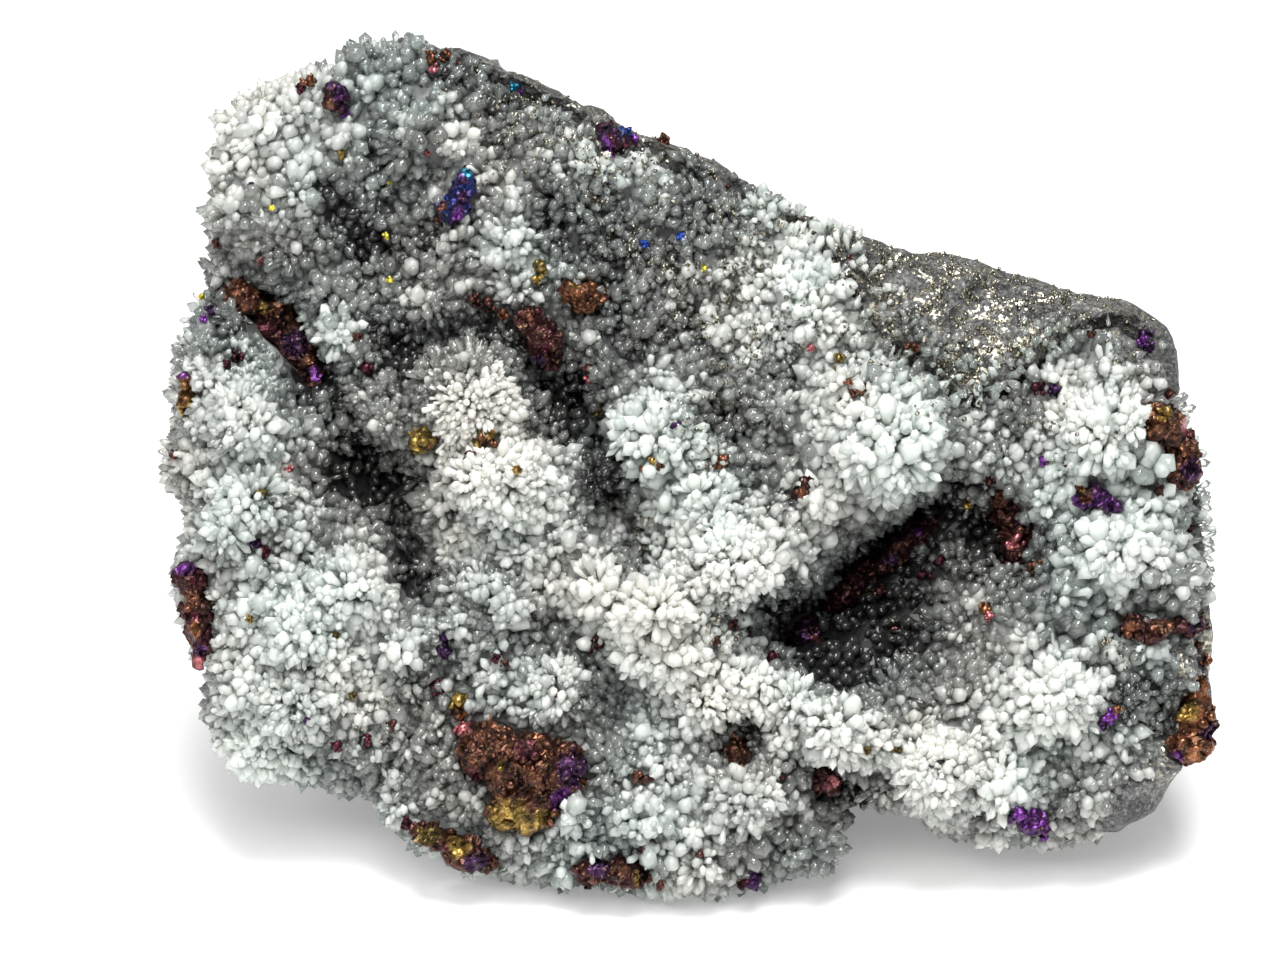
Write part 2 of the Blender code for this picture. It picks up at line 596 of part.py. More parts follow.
def make_masses(collection, cutters, rock_body, druse, height_at):
    tints = {
        "gold": ((0.62, 0.42, 0.10), 0.30), "bronze": ((0.36, 0.17, 0.09), 0.35),
        "maroon": ((0.22, 0.05, 0.08), 0.32), "violet": ((0.20, 0.06, 0.32), 0.28),
        "blue": ((0.05, 0.16, 0.50), 0.26),
    }
    for number, (name, lumps) in enumerate(MASSES.items()):
        places = [(*face_uv(x, y), hw * STEP_MM, hh * STEP_MM, math.radians(turn), lift)
                  for x, y, hw, hh, turn, lift in lumps]
        reach = max(max(hw, hh) for _, _, hw, hh, _, _ in places) + 2.5
        levels = [height_at(u, v) for u, v, *_ in places]
        levels = [max(level, max(levels) - 6.0) for level in levels]
        low = (min(p[0] for p in places) - reach, min(p[1] for p in places) - reach, min(levels) - reach - 1.0)
        high = (max(p[0] for p in places) + reach, max(p[1] for p in places) + reach, max(levels) + reach + 3.5)
        grid = Grid(low, high, MASS_CELL_MM)
        shape = np.full(grid.shape, -9.0)
        for (u, v, hw, hh, turn, lift), level in zip(places, levels):
            hd = 0.85 * min(hw, hh) + 0.7
            du, dv = grid.u - u, grid.v - v
            along = (du * math.cos(turn) + dv * math.sin(turn)) / hw
            across = (dv * math.cos(turn) - du * math.sin(turn)) / hh
            out = (grid.w - (level + lift + MASS_LIFT_MM - 0.55 * hd)) / hd
            distance = np.sqrt(along ** 2 + across ** 2 + out ** 2)
            shape = smooth_max(shape, (1.0 - distance) * min(hw, hh), 0.8)
        spread = math.sqrt(math.prod(high[k] - low[k] - 2.0 * reach + 2.0 * max(p[2 + k] for p in places)
                                     for k in (0, 1)))
        shape = shape + min(0.05 * spread, 0.4) * grid.noise(2.4, 40 + number)
        z = grid.v * math.cos(math.radians(LEAN_DEG)) + grid.w * math.sin(math.radians(LEAN_DEG)) + FLOOR_Z
        shape = np.minimum(shape, z - FLOOR_GAP_MM)
        mass = mesh_object(name, *to_mesh(surface_of(grid, shape)), collection)
        reduce_to(mass, int(min(max(MASS_TRIANGLES_PER_MM * spread, 36), 120)))
        largest_only(mass)
        clearance = grown_copy(mass, name + "_clearance", GAP_MM, cutters)
        for host in (druse, rock_body):
            combine(host, clearance, "DIFFERENCE", own=True)
            if touches(host, mass):
                combine(host, grown_copy(mass, name + "_close", CLOSE_GAP_MM, cutters), "DIFFERENCE", own=True)
        tint = "gold" if "gold" in name else "blue" if "blue" in name else "violet" if (
            "violet" in name or "purple" in name or "star" in name) else "bronze" if (
            "bronze" in name or "edge" in name or "knob" in name) else "maroon"
        colour, roughness = tints[tint]
        mass.data.materials.clear()
        mass.data.materials.append(material(name, colour, roughness, metallic=0.9))


main()
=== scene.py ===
"""Looks of the chalcopyrite on quartz: fine crystals, pyrite grains and tarnish over the exact solids.

Metres, Z up. Places on the face are in picture steps, x to the right and y down.
"""

import math
import random

import bmesh
import bpy
import numpy as np
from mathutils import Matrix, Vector, noise
from mathutils.bvhtree import BVHTree


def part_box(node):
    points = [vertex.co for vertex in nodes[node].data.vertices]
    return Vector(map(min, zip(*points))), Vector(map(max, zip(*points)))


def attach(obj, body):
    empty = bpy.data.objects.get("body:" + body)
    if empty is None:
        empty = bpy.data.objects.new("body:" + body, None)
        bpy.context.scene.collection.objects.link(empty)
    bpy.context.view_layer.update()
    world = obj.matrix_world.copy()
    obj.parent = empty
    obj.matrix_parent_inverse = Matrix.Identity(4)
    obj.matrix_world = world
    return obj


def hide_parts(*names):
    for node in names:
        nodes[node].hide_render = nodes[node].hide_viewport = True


MM = 0.001
STEP_MM = 0.115
FACE_X, FACE_Y = 700.0, 480.0
LEAN = math.radians(25.0)
FLOOR_Z = 44.9
SHIFT = (1.736, -9.800)
ROOT = "root"

BED_VOXEL = 1.05 * MM
ROCK_VOXEL = 0.95 * MM
MASS_VOXEL = 0.34 * MM
BED_DEPTH = 2.6 * MM
# Rays at the face start this far in front of it, in millimetres.
RAY_START = 60.0
QUARTZ_IOR = 1.544
# Nearly a full turn, and the turn between neighbours in a spiral.
TURN = 6.28
SPIRAL = 2.39996

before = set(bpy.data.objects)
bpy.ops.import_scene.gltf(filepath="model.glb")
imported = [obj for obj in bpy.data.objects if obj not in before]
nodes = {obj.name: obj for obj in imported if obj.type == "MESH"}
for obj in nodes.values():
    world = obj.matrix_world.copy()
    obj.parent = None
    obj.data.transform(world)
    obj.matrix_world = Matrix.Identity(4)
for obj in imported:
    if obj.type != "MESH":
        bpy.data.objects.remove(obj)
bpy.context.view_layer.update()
chooser = random.Random(7)


def face_point(x, y, w=0.0):
    """The point in the row frame of a place on the face, w millimetres in front of it."""
    u, v = (x - FACE_X) * STEP_MM, (FACE_Y - y) * STEP_MM
    return Vector((
        u + SHIFT[0],
        v * math.sin(LEAN) - w * math.cos(LEAN) + SHIFT[1],
        v * math.cos(LEAN) + w * math.sin(LEAN) + FLOOR_Z,
    )) * MM


OUT = Vector((0.0, -math.cos(LEAN), math.sin(LEAN)))
UP = Vector((0.0, math.sin(LEAN), math.cos(LEAN)))


def face_place(point):
    """Picture steps (x, y) and height w in millimetres of a point in the row frame."""
    p = point / MM
    rel = Vector((p.x - SHIFT[0], p.y - SHIFT[1], p.z - FLOOR_Z))
    return FACE_X + rel.x / STEP_MM, FACE_Y - rel.dot(UP) / STEP_MM, rel.dot(OUT)


# Materials.


def new_material(name):
    made = bpy.data.materials.new(name)
    made.use_nodes = True
    tree = made.node_tree
    return made, tree, tree.nodes["Principled BSDF"]


def feed(tree, node, values):
    """Sets a node's inputs, or links those whose value is the output of another node."""
    for key, value in values.items():
        socket = node.inputs[key]
        if isinstance(value, bpy.types.NodeSocket):
            tree.links.new(value, socket)
        elif isinstance(value, tuple):
            socket.default_value = (*value, 1.0)[:len(socket.default_value)]
        else:
            socket.default_value = value


def new_node(tree, kind, values, **settings):
    node = tree.nodes.new("ShaderNode" + kind)
    for name, setting in settings.items():
        setattr(node, name, setting)
    feed(tree, node, values)
    return node


def object_coords(tree):
    return tree.nodes.new("ShaderNodeTexCoord").outputs["Object"]


def noise_node(tree, coords, scale, detail, rough):
    values = {"Vector": coords, "Scale": scale, "Detail": detail, "Roughness": rough}
    return new_node(tree, "TexNoise", values).outputs["Fac"]


def ramp_node(tree, value, stops):
    node = new_node(tree, "ValToRGB", {"Fac": value})
    ramp = node.color_ramp
    while len(ramp.elements) > 1:
        ramp.elements.remove(ramp.elements[-1])
    ramp.elements[0].position = stops[0][0]
    ramp.elements[0].color = (*stops[0][1], 1.0)
    for place, colour in stops[1:]:
        ramp.elements.new(place).color = (*colour, 1.0)
    return node.outputs["Color"]


def math_node(tree, operation, *values):
    return new_node(tree, "Math", dict(enumerate(values)), operation=operation).outputs["Value"]


def span_node(tree, value, start, end, low_value=0.0, high_value=1.0):
    values = {"Value": value, "From Min": start, "From Max": end, "To Min": low_value, "To Max": high_value}
    return new_node(tree, "MapRange", values).outputs["Result"]


def mix_node(tree, factor, first, second, blend="MIX"):
    values = {"Factor": factor, "A": first, "B": second}
    return new_node(tree, "Mix", values, data_type="RGBA", blend_type=blend).outputs["Result"]


def distance_mask(tree, coords, wobble, point, radius):
    """One near a point and nothing away from it, with a ragged edge."""
    away = new_node(tree, "VectorMath", {0: coords, 1: tuple(point)}, operation="DISTANCE").outputs["Value"]
    ragged = math_node(tree, "MULTIPLY_ADD", wobble, radius * 1.1, away)
    return span_node(tree, ragged, radius * 1.75, radius * 1.35)


def bump_node(tree, height, strength, distance):
    values = {"Height": height, "Strength": strength, "Distance": distance}
    return new_node(tree, "Bump", values).outputs["Normal"]


def metal_bump(tree, coords):
    return bump_node(tree, noise_node(tree, coords, 1500.0, 2.0, 0.6), 0.62, 0.0002)


def quartz_material(name, colour, shade, transmission, roughness):
    """Cloudy quartz: paler and deeper patches, and a slow drift between a cool and a warm white."""
    made, tree, shader = new_material(name)
    coords = object_coords(tree)
    clouds = ramp_node(tree, noise_node(tree, coords, 420.0, 3.0, 0.6), [(0.38, shade), (0.58, colour)])
    drift = ramp_node(tree, noise_node(tree, coords, 55.0, 2.0, 0.5), [
        (0.38, (0.945, 1.0, 0.97)), (0.52, (0.985, 1.0, 0.97)), (0.66, (1.0, 0.975, 0.93))])
    feed(tree, shader, {
        "Base Color": mix_node(tree, 1.0, clouds, drift, "MULTIPLY"), "Roughness": roughness,
        "Transmission Weight": transmission, "IOR": QUARTZ_IOR,
    })
    return made


# Meshes.


def object_from(name, points, faces, material):
    mesh = bpy.data.meshes.new(name)
    points = np.asarray(points, np.float32)
    faces = np.asarray(faces, np.int32)
    size = faces.shape[1]
    mesh.vertices.add(len(points))
    mesh.vertices.foreach_set("co", points.ravel())
    mesh.loops.add(faces.size)
    mesh.loops.foreach_set("vertex_index", faces.ravel())
    mesh.polygons.add(len(faces))
    mesh.polygons.foreach_set("loop_start", np.arange(0, faces.size, size, dtype=np.int32))
    mesh.update(calc_edges=True)
    mesh.validate()
    obj = bpy.data.objects.new(name, mesh)
    bpy.context.scene.collection.objects.link(obj)
    mesh.materials.append(material)
    return obj


def tree_of(*objs):
    points, faces = [], []
    for obj in objs:
        start = len(points)
        points += [v.co.copy() for v in obj.data.vertices]
        faces += [[start + i for i in p.vertices] for p in obj.data.polygons]
    return BVHTree.FromPolygons(points, faces)


def fine_copy(node, name, voxel, smooth_steps=0):
    """A closed copy of a CAD node with an even fine mesh."""
    body = bmesh.new()
    body.from_mesh(node.data)
    bmesh.ops.remove_doubles(body, verts=body.verts, dist=1e-7)
    mesh = bpy.data.meshes.new(name)
    body.to_mesh(mesh)
    body.free()
    obj = bpy.data.objects.new(name, mesh)
    bpy.context.scene.collection.objects.link(obj)
    modifier = obj.modifiers.new("remesh", "REMESH")
    modifier.mode = "VOXEL"
    modifier.voxel_size = voxel
    if smooth_steps:
        soften = obj.modifiers.new("soften", "SMOOTH")
        soften.iterations = smooth_steps
        soften.factor = 0.5
    bpy.context.view_layer.update()
    graph = bpy.context.evaluated_depsgraph_get()
    fine = bpy.data.meshes.new_from_object(obj.evaluated_get(graph))
    obj.modifiers.clear()
    obj.data = fine
    return obj


def coordinates(mesh):
    co = np.empty(len(mesh.vertices) * 3, np.float32)
    mesh.vertices.foreach_get("co", co)
    return co.reshape(-1, 3).astype(float)


def move_points(obj, points):
    obj.data.vertices.foreach_set("co", points.astype(np.float32).ravel())
    obj.data.update()


def normals(mesh):
    no = np.empty(len(mesh.vertices) * 3, np.float32)
    mesh.vertex_normals.foreach_get("vector", no)
    return no.reshape(-1, 3).astype(float)


druse_tree = tree_of(nodes["quartz_druse"])
rock_tree = tree_of(nodes["matrix_rock"])
shell_tree = tree_of(nodes["quartz_druse"], nodes["matrix_rock"])
mass_names = sorted(n for n in nodes if n.startswith("chalcopyrite_"))

low = Vector([min(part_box(n)[0][k] for n in nodes) for k in range(3)])
high = Vector([max(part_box(n)[1][k] for n in nodes) for k in range(3)])


def in_box(point, margin=0.0001):
    return all(low[k] + margin < point[k] < high[k] - margin for k in range(3))


def outward_at(point):
    """A smooth way out of the specimen: the normal of a flat ellipsoid about its middle."""
    p = point / MM
    rel = Vector((p.x - SHIFT[0], p.y - SHIFT[1], p.z - FLOOR_Z))
    u, v, w = rel.x, rel.dot(UP), rel.dot(OUT) + 24.0
    return (Vector((1, 0, 0)) * (u / 62.0 ** 2) + UP * (v / 52.0 ** 2) + OUT * (w / 27.0 ** 2)).normalized()


def hit_from_front(tree, x, y):
    """The first place on a surface that is seen at (x, y) of the face, and the normal there."""
    return tree.ray_cast(face_point(x, y, RAY_START), -OUT)[:2]


def field_at(spots, base, x, y):
    total = base
    for sx, sy, radius, value in spots:
        total += value * math.exp(-((x - sx) ** 2 + (y - sy) ** 2) / radius ** 2)
    return total


# Small lumps of chalcopyrite on the crystals: x, y, half width, colour.

SMALL = [
    (462, 698, 11, "gold"), (463, 708, 10, "orange"), (441, 684, 9, "maroon"), (752, 873, 11, "purple"),
    (743, 876, 8, "maroon"), (1142, 336, 9, "purple"), (1143, 349, 8, "purple"), (1136, 343, 6, "violet"),
    (651, 462, 5, "gold"), (643, 468, 5, "bronze"), (659, 466, 5, "bronze"), (650, 474, 5, "olive"),
    (850, 392, 9, "bronze"), (842, 385, 5, "bronze"), (836, 360, 6, "olive"), (834, 372, 5, "olive"),
    (965, 497, 9, "bronze"), (966, 506, 6, "gold"), (1100, 712, 9, "violet"), (1093, 718, 7, "purple"),
    (1107, 705, 6, "bronze"), (636, 770, 8, "bronze"), (646, 771, 7, "brown"), (597, 640, 9, "brown"),
    (590, 646, 7, "maroon"), (449, 635, 8, "purple"), (449, 647, 9, "purple"), (370, 35, 8, "bronze"),
    (314, 88, 9, "bronze"), (305, 94, 6, "maroon"), (435, 62, 8, "bronze"), (448, 60, 8, "bronze"),
    (460, 62, 6, "bronze"), (437, 74, 6, "pink"), (427, 149, 6, "orange"), (430, 157, 4, "pink"),
    (345, 157, 7, "olive"), (515, 88, 6, "cyan"), (521, 96, 6, "purple"), (662, 138, 8, "bronze"),
    (624, 132, 8, "blue"), (634, 140, 6, "violet"), (610, 160, 6, "violet"), (541, 273, 9, "olive"),
    (538, 284, 6, "gold"), (476, 303, 8, "brown"), (490, 308, 9, "brown"), (505, 316, 7, "bronze"),
    (590, 380, 6, "pink"), (588, 370, 5, "brown"), (598, 410, 7, "olive"), (370, 370, 9, "maroon"),
    (362, 340, 6, "brown"), (390, 417, 5, "olive"), (475, 457, 7, "brown"), (522, 470, 6, "gold"),
    (500, 446, 6, "bronze"), (722, 461, 7, "bronze"), (716, 467, 5, "orange"), (808, 350, 5, "pink"),
    (908, 350, 8, "bronze"), (845, 265, 7, "brown"), (840, 275, 5, "brown"), (727, 187, 5, "brown"),
    (1083, 337, 6, "brown"), (1032, 390, 8, "maroon"), (1047, 393, 8, "purple"), (1150, 490, 6, "brown"),
    (1036, 462, 6, "violet"), (1190, 530, 7, "brown"), (980, 606, 7, "orange"), (983, 615, 6, "pink"),
    (893, 630, 5, "pink"), (940, 560, 7, "maroon"), (925, 575, 7, "maroon"), (880, 590, 8, "brown"),
    (770, 655, 8, "maroon"), (730, 622, 7, "brown"), (745, 632, 6, "maroon"), (715, 636, 5, "brown"),
    (860, 742, 5, "olive"), (890, 742, 6, "olive"), (972, 785, 5, "brown"), (1012, 806, 8, "violet"),
    (1005, 812, 6, "purple"), (508, 661, 6, "brown"), (499, 655, 5, "maroon"), (265, 543, 8, "purple"),
    (272, 550, 6, "maroon"), (270, 494, 6, "olive"), (285, 504, 6, "brown"), (295, 470, 5, "pink"),
    (180, 455, 6, "brown"), (257, 616, 5, "gold"), (358, 692, 5, "olive"), (342, 632, 5, "olive"),
    (396, 721, 7, "brown"), (370, 736, 7, "maroon"), (341, 741, 7, "maroon"), (315, 715, 5, "purple"),
    (278, 213, 4, "yellow"), (390, 240, 4, "yellow"), (393, 283, 4, "yellow"), (392, 185, 3, "yellow"),
    (703, 272, 4, "yellow"), (203, 297, 4, "yellow"), (645, 248, 5, "blue"), (680, 240, 5, "blue"),
    (257, 190, 5, "purple"), (675, 426, 6, "purple"), (242, 358, 8, "maroon"), (235, 366, 6, "maroon"),
    (214, 312, 7, "purple"), (207, 320, 6, "violet"), (220, 245, 6, "brown"), (265, 264, 5, "pink"),
    (502, 757, 6, "gold"), (465, 725, 9, "pink"), (410, 818, 8, "maroon"), (660, 875, 6, "brown"),
    (588, 878, 6, "brown"), (700, 845, 5, "brown"), (500, 880, 5, "purple"), (640, 842, 5, "brown"),
    (1205, 660, 8, "bronze"), (1202, 682, 8, "orange"), (1195, 645, 6, "brown"), (1120, 618, 7, "orange"),
    (1165, 395, 7, "brown"), (1178, 420, 6, "pink"), (1030, 565, 8, "bronze"), (1012, 540, 6, "pink"),
    (985, 482, 7, "brown"), (960, 470, 6, "maroon"), (1040, 835, 5, "violet"), (330, 95, 6, "maroon"),
    (348, 118, 6, "violet"), (352, 92, 6, "purple"), (470, 176, 6, "cyan"), (440, 222, 6, "bronze"),
    (560, 690, 5, "brown"), (780, 770, 5, "brown"), (1060, 468, 6, "maroon"), (1072, 486, 6, "bronze"),
]
TINTS = {
    "gold": (0.29, 0.19, 0.048), "olive": (0.17, 0.125, 0.036), "yellow": (0.70, 0.60, 0.07),
    "bronze": (0.125, 0.050, 0.028), "orange": (0.21, 0.080, 0.038), "brown": (0.062, 0.024, 0.019),
    "maroon": (0.058, 0.013, 0.021), "pink": (0.38, 0.12, 0.13), "purple": (0.040, 0.015, 0.056),
    "violet": (0.14, 0.036, 0.21), "blue": (0.020, 0.055, 0.26), "cyan": (0.05, 0.36, 0.54),
}
BLOCKS_PER_LUMP = 10
BLOCKY_SHARE = 0.6
GOLDEN = (1 + 5 ** 0.5) / 2
ICO = np.array([(s, t * GOLDEN, 0.0) for s in (-1, 1) for t in (-1, 1)])
ICO = np.concatenate([ICO, ICO[:, [2, 0, 1]], ICO[:, [1, 2, 0]]]) / math.hypot(1, GOLDEN)


def hull_faces(points):
    """Triangles of the convex hull of a few points."""
    body = bmesh.new()
    for p in points:
        body.verts.new(p)
    bmesh.ops.convex_hull(body, input=body.verts)
    bmesh.ops.triangulate(body, faces=body.faces)
    body.verts.index_update()
    body.normal_update()
    where = np.array([v.co for v in body.verts])
    faces = np.array([[v.index for v in f.verts] for f in body.faces])
    body.free()
    return where, faces


ICO, ICO_FACES = hull_faces(ICO)
BLOCK, BLOCK_FACES = hull_faces([(x, y, z) for x in (-0.7, 0.7) for y in (-0.7, 0.7) for z in (-0.7, 0.7)])


def clipped(points):
    """The points moved just inside the box of the CAD solids."""
    return np.clip(points, np.array(low) + 0.00005, np.array(high) - 0.00005)


def random_vector(most):
    return Vector([chooser.uniform(-most, most) for _ in range(3)])


def random_basis():
    a = noise.random_unit_vector()
    b = a.orthogonal().normalized()
    return np.array([a, b, a.cross(b)])


def nugget(store, centre, radius):
    """A small block with uneven flat faces."""
    if chooser.random() < BLOCKY_SHARE:
        corners = BLOCK + np.array([[chooser.uniform(-0.22, 0.22) for _ in range(3)] for _ in range(8)])
        stretch = [chooser.uniform(0.8, 1.3), chooser.uniform(0.7, 1.1), chooser.uniform(0.45, 0.9)]
        faces = BLOCK_FACES
    else:
        corners = ICO * np.array([chooser.uniform(0.72, 1.2) for _ in range(12)])[:, None]
        stretch = [chooser.uniform(0.75, 1.25), chooser.uniform(0.7, 1.1), 1.0]
        faces = ICO_FACES
    points = clipped((corners * np.array(stretch) * radius) @ random_basis() + np.array(centre))
    store[1].append(faces + sum(len(p) for p in store[0]))
    store[0].append(points)


noise.seed_set(5)
small = {}
for x, y, half, tint in SMALL:
    spot, _ = hit_from_front(shell_tree, x, y)
    if spot is None:
        continue
    radius = half * STEP_MM * MM
    for number in range(BLOCKS_PER_LUMP):
        offset = noise.random_unit_vector()
        offset = (offset - OUT * offset.dot(OUT) * 0.6) * radius * (0.75 if number > 1 else 0.3)
        centre = spot + offset + OUT * chooser.uniform(-0.45, 0.2) * MM
        size = radius * (chooser.uniform(0.20, 0.5) if number > 1 else chooser.uniform(0.55, 0.85))
        if all(in_box(centre + offset.normalized() * size * k) for k in (-1.3, 1.3)):
            nugget(small.setdefault(tint, ([], [])), centre, size)
small_parts = []


def shade(colour, amount):
    return tuple(min(c * amount, 1.0) for c in colour)


for tint, (where, faces) in small.items():
    made, tree, shader = new_material("chalcopyrite_" + tint)
    coords = object_coords(tree)
    # The near-black and the brightest stops are painted dark reflections and painted glints; between them is
    # the lump's own tint.
    stops = ((0.37, 0.10), (0.45, 0.8), (0.55, 1.3), (0.61, 2.2), (0.66, 0.5))
    feed(tree, shader, {
        "Base Color": ramp_node(tree, noise_node(tree, coords, 900.0, 3.0, 0.6),
                                [(place, shade(TINTS[tint], amount)) for place, amount in stops]),
        "Metallic": 0.8, "Roughness": 0.30, "Normal": metal_bump(tree, coords),
    })
    piece = object_from("grains_" + tint, np.concatenate(where), np.concatenate(faces), made)
    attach(piece, ROOT)
    small_parts.append(piece)

mass_tree = tree_of(*[nodes[n] for n in mass_names], *small_parts)

# Where the crystals are fine or coarse, and where painted light and shade make the crystals and the bed paler
# or darker: x, y, radius, value.

BASE_WIDTH = 1.2
WIDTHS = [
    (470, 395, 65, -0.45), (300, 150, 120, 0.25), (520, 140, 150, 0.15), (880, 430, 75, 0.35),
    (1110, 520, 110, 0.35), (1050, 690, 60, 0.25), (830, 835, 60, 0.45), (650, 830, 110, 0.25),
    (660, 430, 60, 0.3), (250, 600, 90, 0.1), (1085, 620, 40, 0.5), (590, 595, 40, 0.45),
    (1150, 470, 40, 0.5), (720, 250, 90, -0.1), (820, 510, 40, 0.4), (300, 440, 60, 0.15),
    (250, 380, 40, -0.3),
]
# Painted light and shade: plus on the rosettes' lit tops, which is partly also their whiter quartz, and minus
# in the hollows and between rosettes, where shade falls. It picks the crystals' kinds and the bed's tones,
# and where it is minus it also sinks the bed deeper.
PAINTED_LIGHT_SHADE_AND_TONE = [
    (880, 430, 75, 1.0), (470, 395, 60, 1.1), (735, 560, 55, 1.2), (655, 625, 50, 1.2), (700, 665, 40, 0.8),
    (745, 682, 50, 1.1), (832, 722, 50, 1.0), (930, 770, 55, 1.0), (1050, 690, 55, 1.0), (1000, 755, 40, 0.6),
    (510, 490, 65, 0.7), (350, 590, 55, 0.9), (250, 752, 40, 0.8), (800, 290, 50, 0.8), (1090, 430, 60, 0.8),
    (1120, 560, 60, 0.5), (280, 110, 60, 0.4), (660, 450, 60, 0.5), (680, 520, 40, 0.6), (1080, 790, 60, 0.6),
    (700, 850, 80, 0.3), (250, 430, 60, 0.4), (240, 510, 50, 0.5), (230, 620, 60, 0.5), (300, 660, 50, 0.5),
    (360, 680, 40, 0.5), (820, 240, 40, 0.4), (580, 590, 35, 0.6), (760, 240, 30, 0.4), (740, 345, 25, 0.6),
    (550, 690, 45, 0.6), (330, 330, 35, 0.4), (640, 790, 50, 0.3), (750, 800, 50, 0.3), (1160, 640, 40, 0.3),
    (600, 700, 40, -0.5), (430, 230, 80, -0.3), (560, 220, 90, -0.6), (620, 270, 60, -0.5),
    (700, 190, 60, -0.6), (640, 350, 40, -0.4), (720, 415, 28, -1.3), (370, 250, 60, -0.4),
    (310, 385, 34, -2.1), (350, 460, 38, -1.8), (400, 505, 36, -2.0), (415, 580, 25, -2.6),
    (560, 400, 38, -2.2), (612, 470, 30, -2.2), (640, 560, 28, -0.9), (945, 515, 32, -2.2),
    (880, 570, 42, -2.2), (805, 635, 42, -2.2), (845, 668, 32, -1.8), (770, 610, 28, -1.6),
    (905, 640, 50, -1.1), (1000, 540, 40, -1.3), (740, 740, 25, -1.8), (1080, 340, 40, -0.6),
    (220, 320, 40, -0.5), (1160, 720, 50, -0.4), (540, 640, 32, -0.8), (950, 420, 25, -0.8),
    (480, 90, 60, -0.4), (270, 290, 40, -0.5), (380, 345, 25, -1.6), (490, 335, 36, -1.7),
    (415, 360, 30, -1.7), (700, 640, 22, -0.8), (610, 780, 30, -0.5), (1060, 750, 30, -0.5),
    (420, 680, 30, -0.6), (590, 665, 32, -1.2), (350, 800, 40, -0.5), (850, 790, 30, -0.8),
    (1075, 650, 22, -0.7), (965, 720, 30, -0.4), (1010, 420, 30, -0.8), (450, 760, 30, -0.6),
    (520, 260, 50, 0.5), (610, 190, 50, 0.4), (440, 130, 50, 0.2), (660, 180, 40, 0.3), (430, 520, 28, 0.9),
    (900, 360, 40, -0.7), (760, 850, 45, -0.6), (840, 810, 30, -0.8), (620, 830, 40, -0.4),
    (330, 590, 50, -0.3), (1080, 600, 40, -0.4), (1010, 650, 40, -0.3), (760, 500, 40, -0.4),
    (370, 720, 40, 0.3), (1080, 370, 40, 0.3), (590, 650, 30, 0.5), (830, 760, 35, -0.4), (440, 540, 30, 0.3),
    (373, 153, 16, -1.8), (339, 207, 18, -1.6), (322, 188, 14, -1.4), (365, 239, 18, -2.0),
    (427, 233, 14, -1.4), (549, 223, 16, -1.5), (501, 116, 30, -0.8), (459, 60, 20, -0.9),
    (256, 153, 45, 0.3), (506, 180, 35, 0.5), (533, 249, 35, 0.6), (458, 137, 20, 0.6), (597, 200, 25, -0.6),
    (850, 660, 40, -0.6), (330, 480, 30, -0.5), (740, 440, 26, -0.6), (250, 480, 40, -0.3),
    (1030, 720, 30, 0.3), (880, 800, 30, -0.5), (810, 770, 25, -0.6), (1010, 560, 40, -0.4),
    (780, 380, 30, -0.5), (700, 330, 30, -0.4), (1080, 820, 40, -0.3), (1150, 700, 40, -0.8),
    (1150, 600, 30, -0.5), (905, 600, 40, -0.3),
]
BASE_PAINTED_LIGHT_AND_TONE = 0.38
# Further back than this, in millimetres, a place is on the sides and not on the face.
SIDE_W = -16.0
# The upper edge is smooth from here to the right, and its line is given as x and y.
SMOOTH_FROM_X = 440
TOP_EDGE = ((395, 430, 640, 770, 900, 1040, 1090, 1165), (30, 35, 130, 195, 245, 280, 292, 330))


def painted_light_and_tone_at(point):
    x, y, w = face_place(point)
    if w < SIDE_W:
        return -0.1
    return field_at(PAINTED_LIGHT_SHADE_AND_TONE, BASE_PAINTED_LIGHT_AND_TONE, x, y) + 0.25 * noise.noise(point * 110.0)


def width_of(point):
    x, y, w = face_place(point)
    width = max(0.6, min(field_at(WIDTHS, BASE_WIDTH, x, y), 2.2))
    return width if w > SIDE_W else width * 1.4


def rim_share(point):
    """One on the smooth edge along the upper right, which no crystals cover, down to nothing away from it."""
    x, y, w = face_place(point)
    if w < -14.0 or x < 1000.0:
        return 0.0
    inside = max(
        312.0 + (x - 1090.0) * 0.507 - y,
        min(x - 1163.0, 385.0 - y),
        min(x - 1196.0, y - 600.0),
        min(y - 806.0 + 0.79 * (x - 1110.0), y - 690.0, (x - 1105.0) * 2.0),
    )
    return max(0.0, min(1.0, 1.0 + inside / 34.0))


def top_edge(x):
    return float(np.interp(x, *TOP_EDGE))


# Quartz bed under the crystals. The tones run from low to high in its clouds. The dark and deep tones are
# painted shade, in the hollows and between rosettes, and the pale tone is painted light under the lit
# rosettes.

BED_TONES = {
    "grey": (0.17, 0.25, 0.34), "dark": (0.004, 0.010, 0.025), "pale": (0.45, 0.58, 0.70),
    "rim": (0.16, 0.24, 0.34), "deep": (0.04, 0.08, 0.14),
}
GREY, PAINTED_GROOVE_SHADE, PAINTED_LIT_TONE, RIM, PAINTED_HOLLOW_SHADE = range(len(BED_TONES))
bed = fine_copy(nodes["quartz_druse"], "quartz_bed", BED_VOXEL, 8)
co = coordinates(bed.data)
no = normals(bed.data)
rock_gap = np.array([rock_tree.find_nearest(Vector(p))[3] for p in co]) / MM
outer = np.clip((rock_gap - 0.9) / 2.0, 0, 1)
ways = np.array([outward_at(Vector(p)) for p in co])
facing = np.clip((no * ways).sum(axis=1) * 2.0, 0, 1)
lights = np.array([painted_light_and_tone_at(Vector(p)) for p in co])
depth = outer * (BED_DEPTH + np.clip(-lights, 0, 1.2) * 0.7 * MM)
rim = np.array([rim_share(Vector(p)) for p in co])
depth *= 1.0 - rim
sunk = np.clip(co - ways * depth[:, None], low, high)
move_points(bed, sunk)
bed.data.materials.clear()
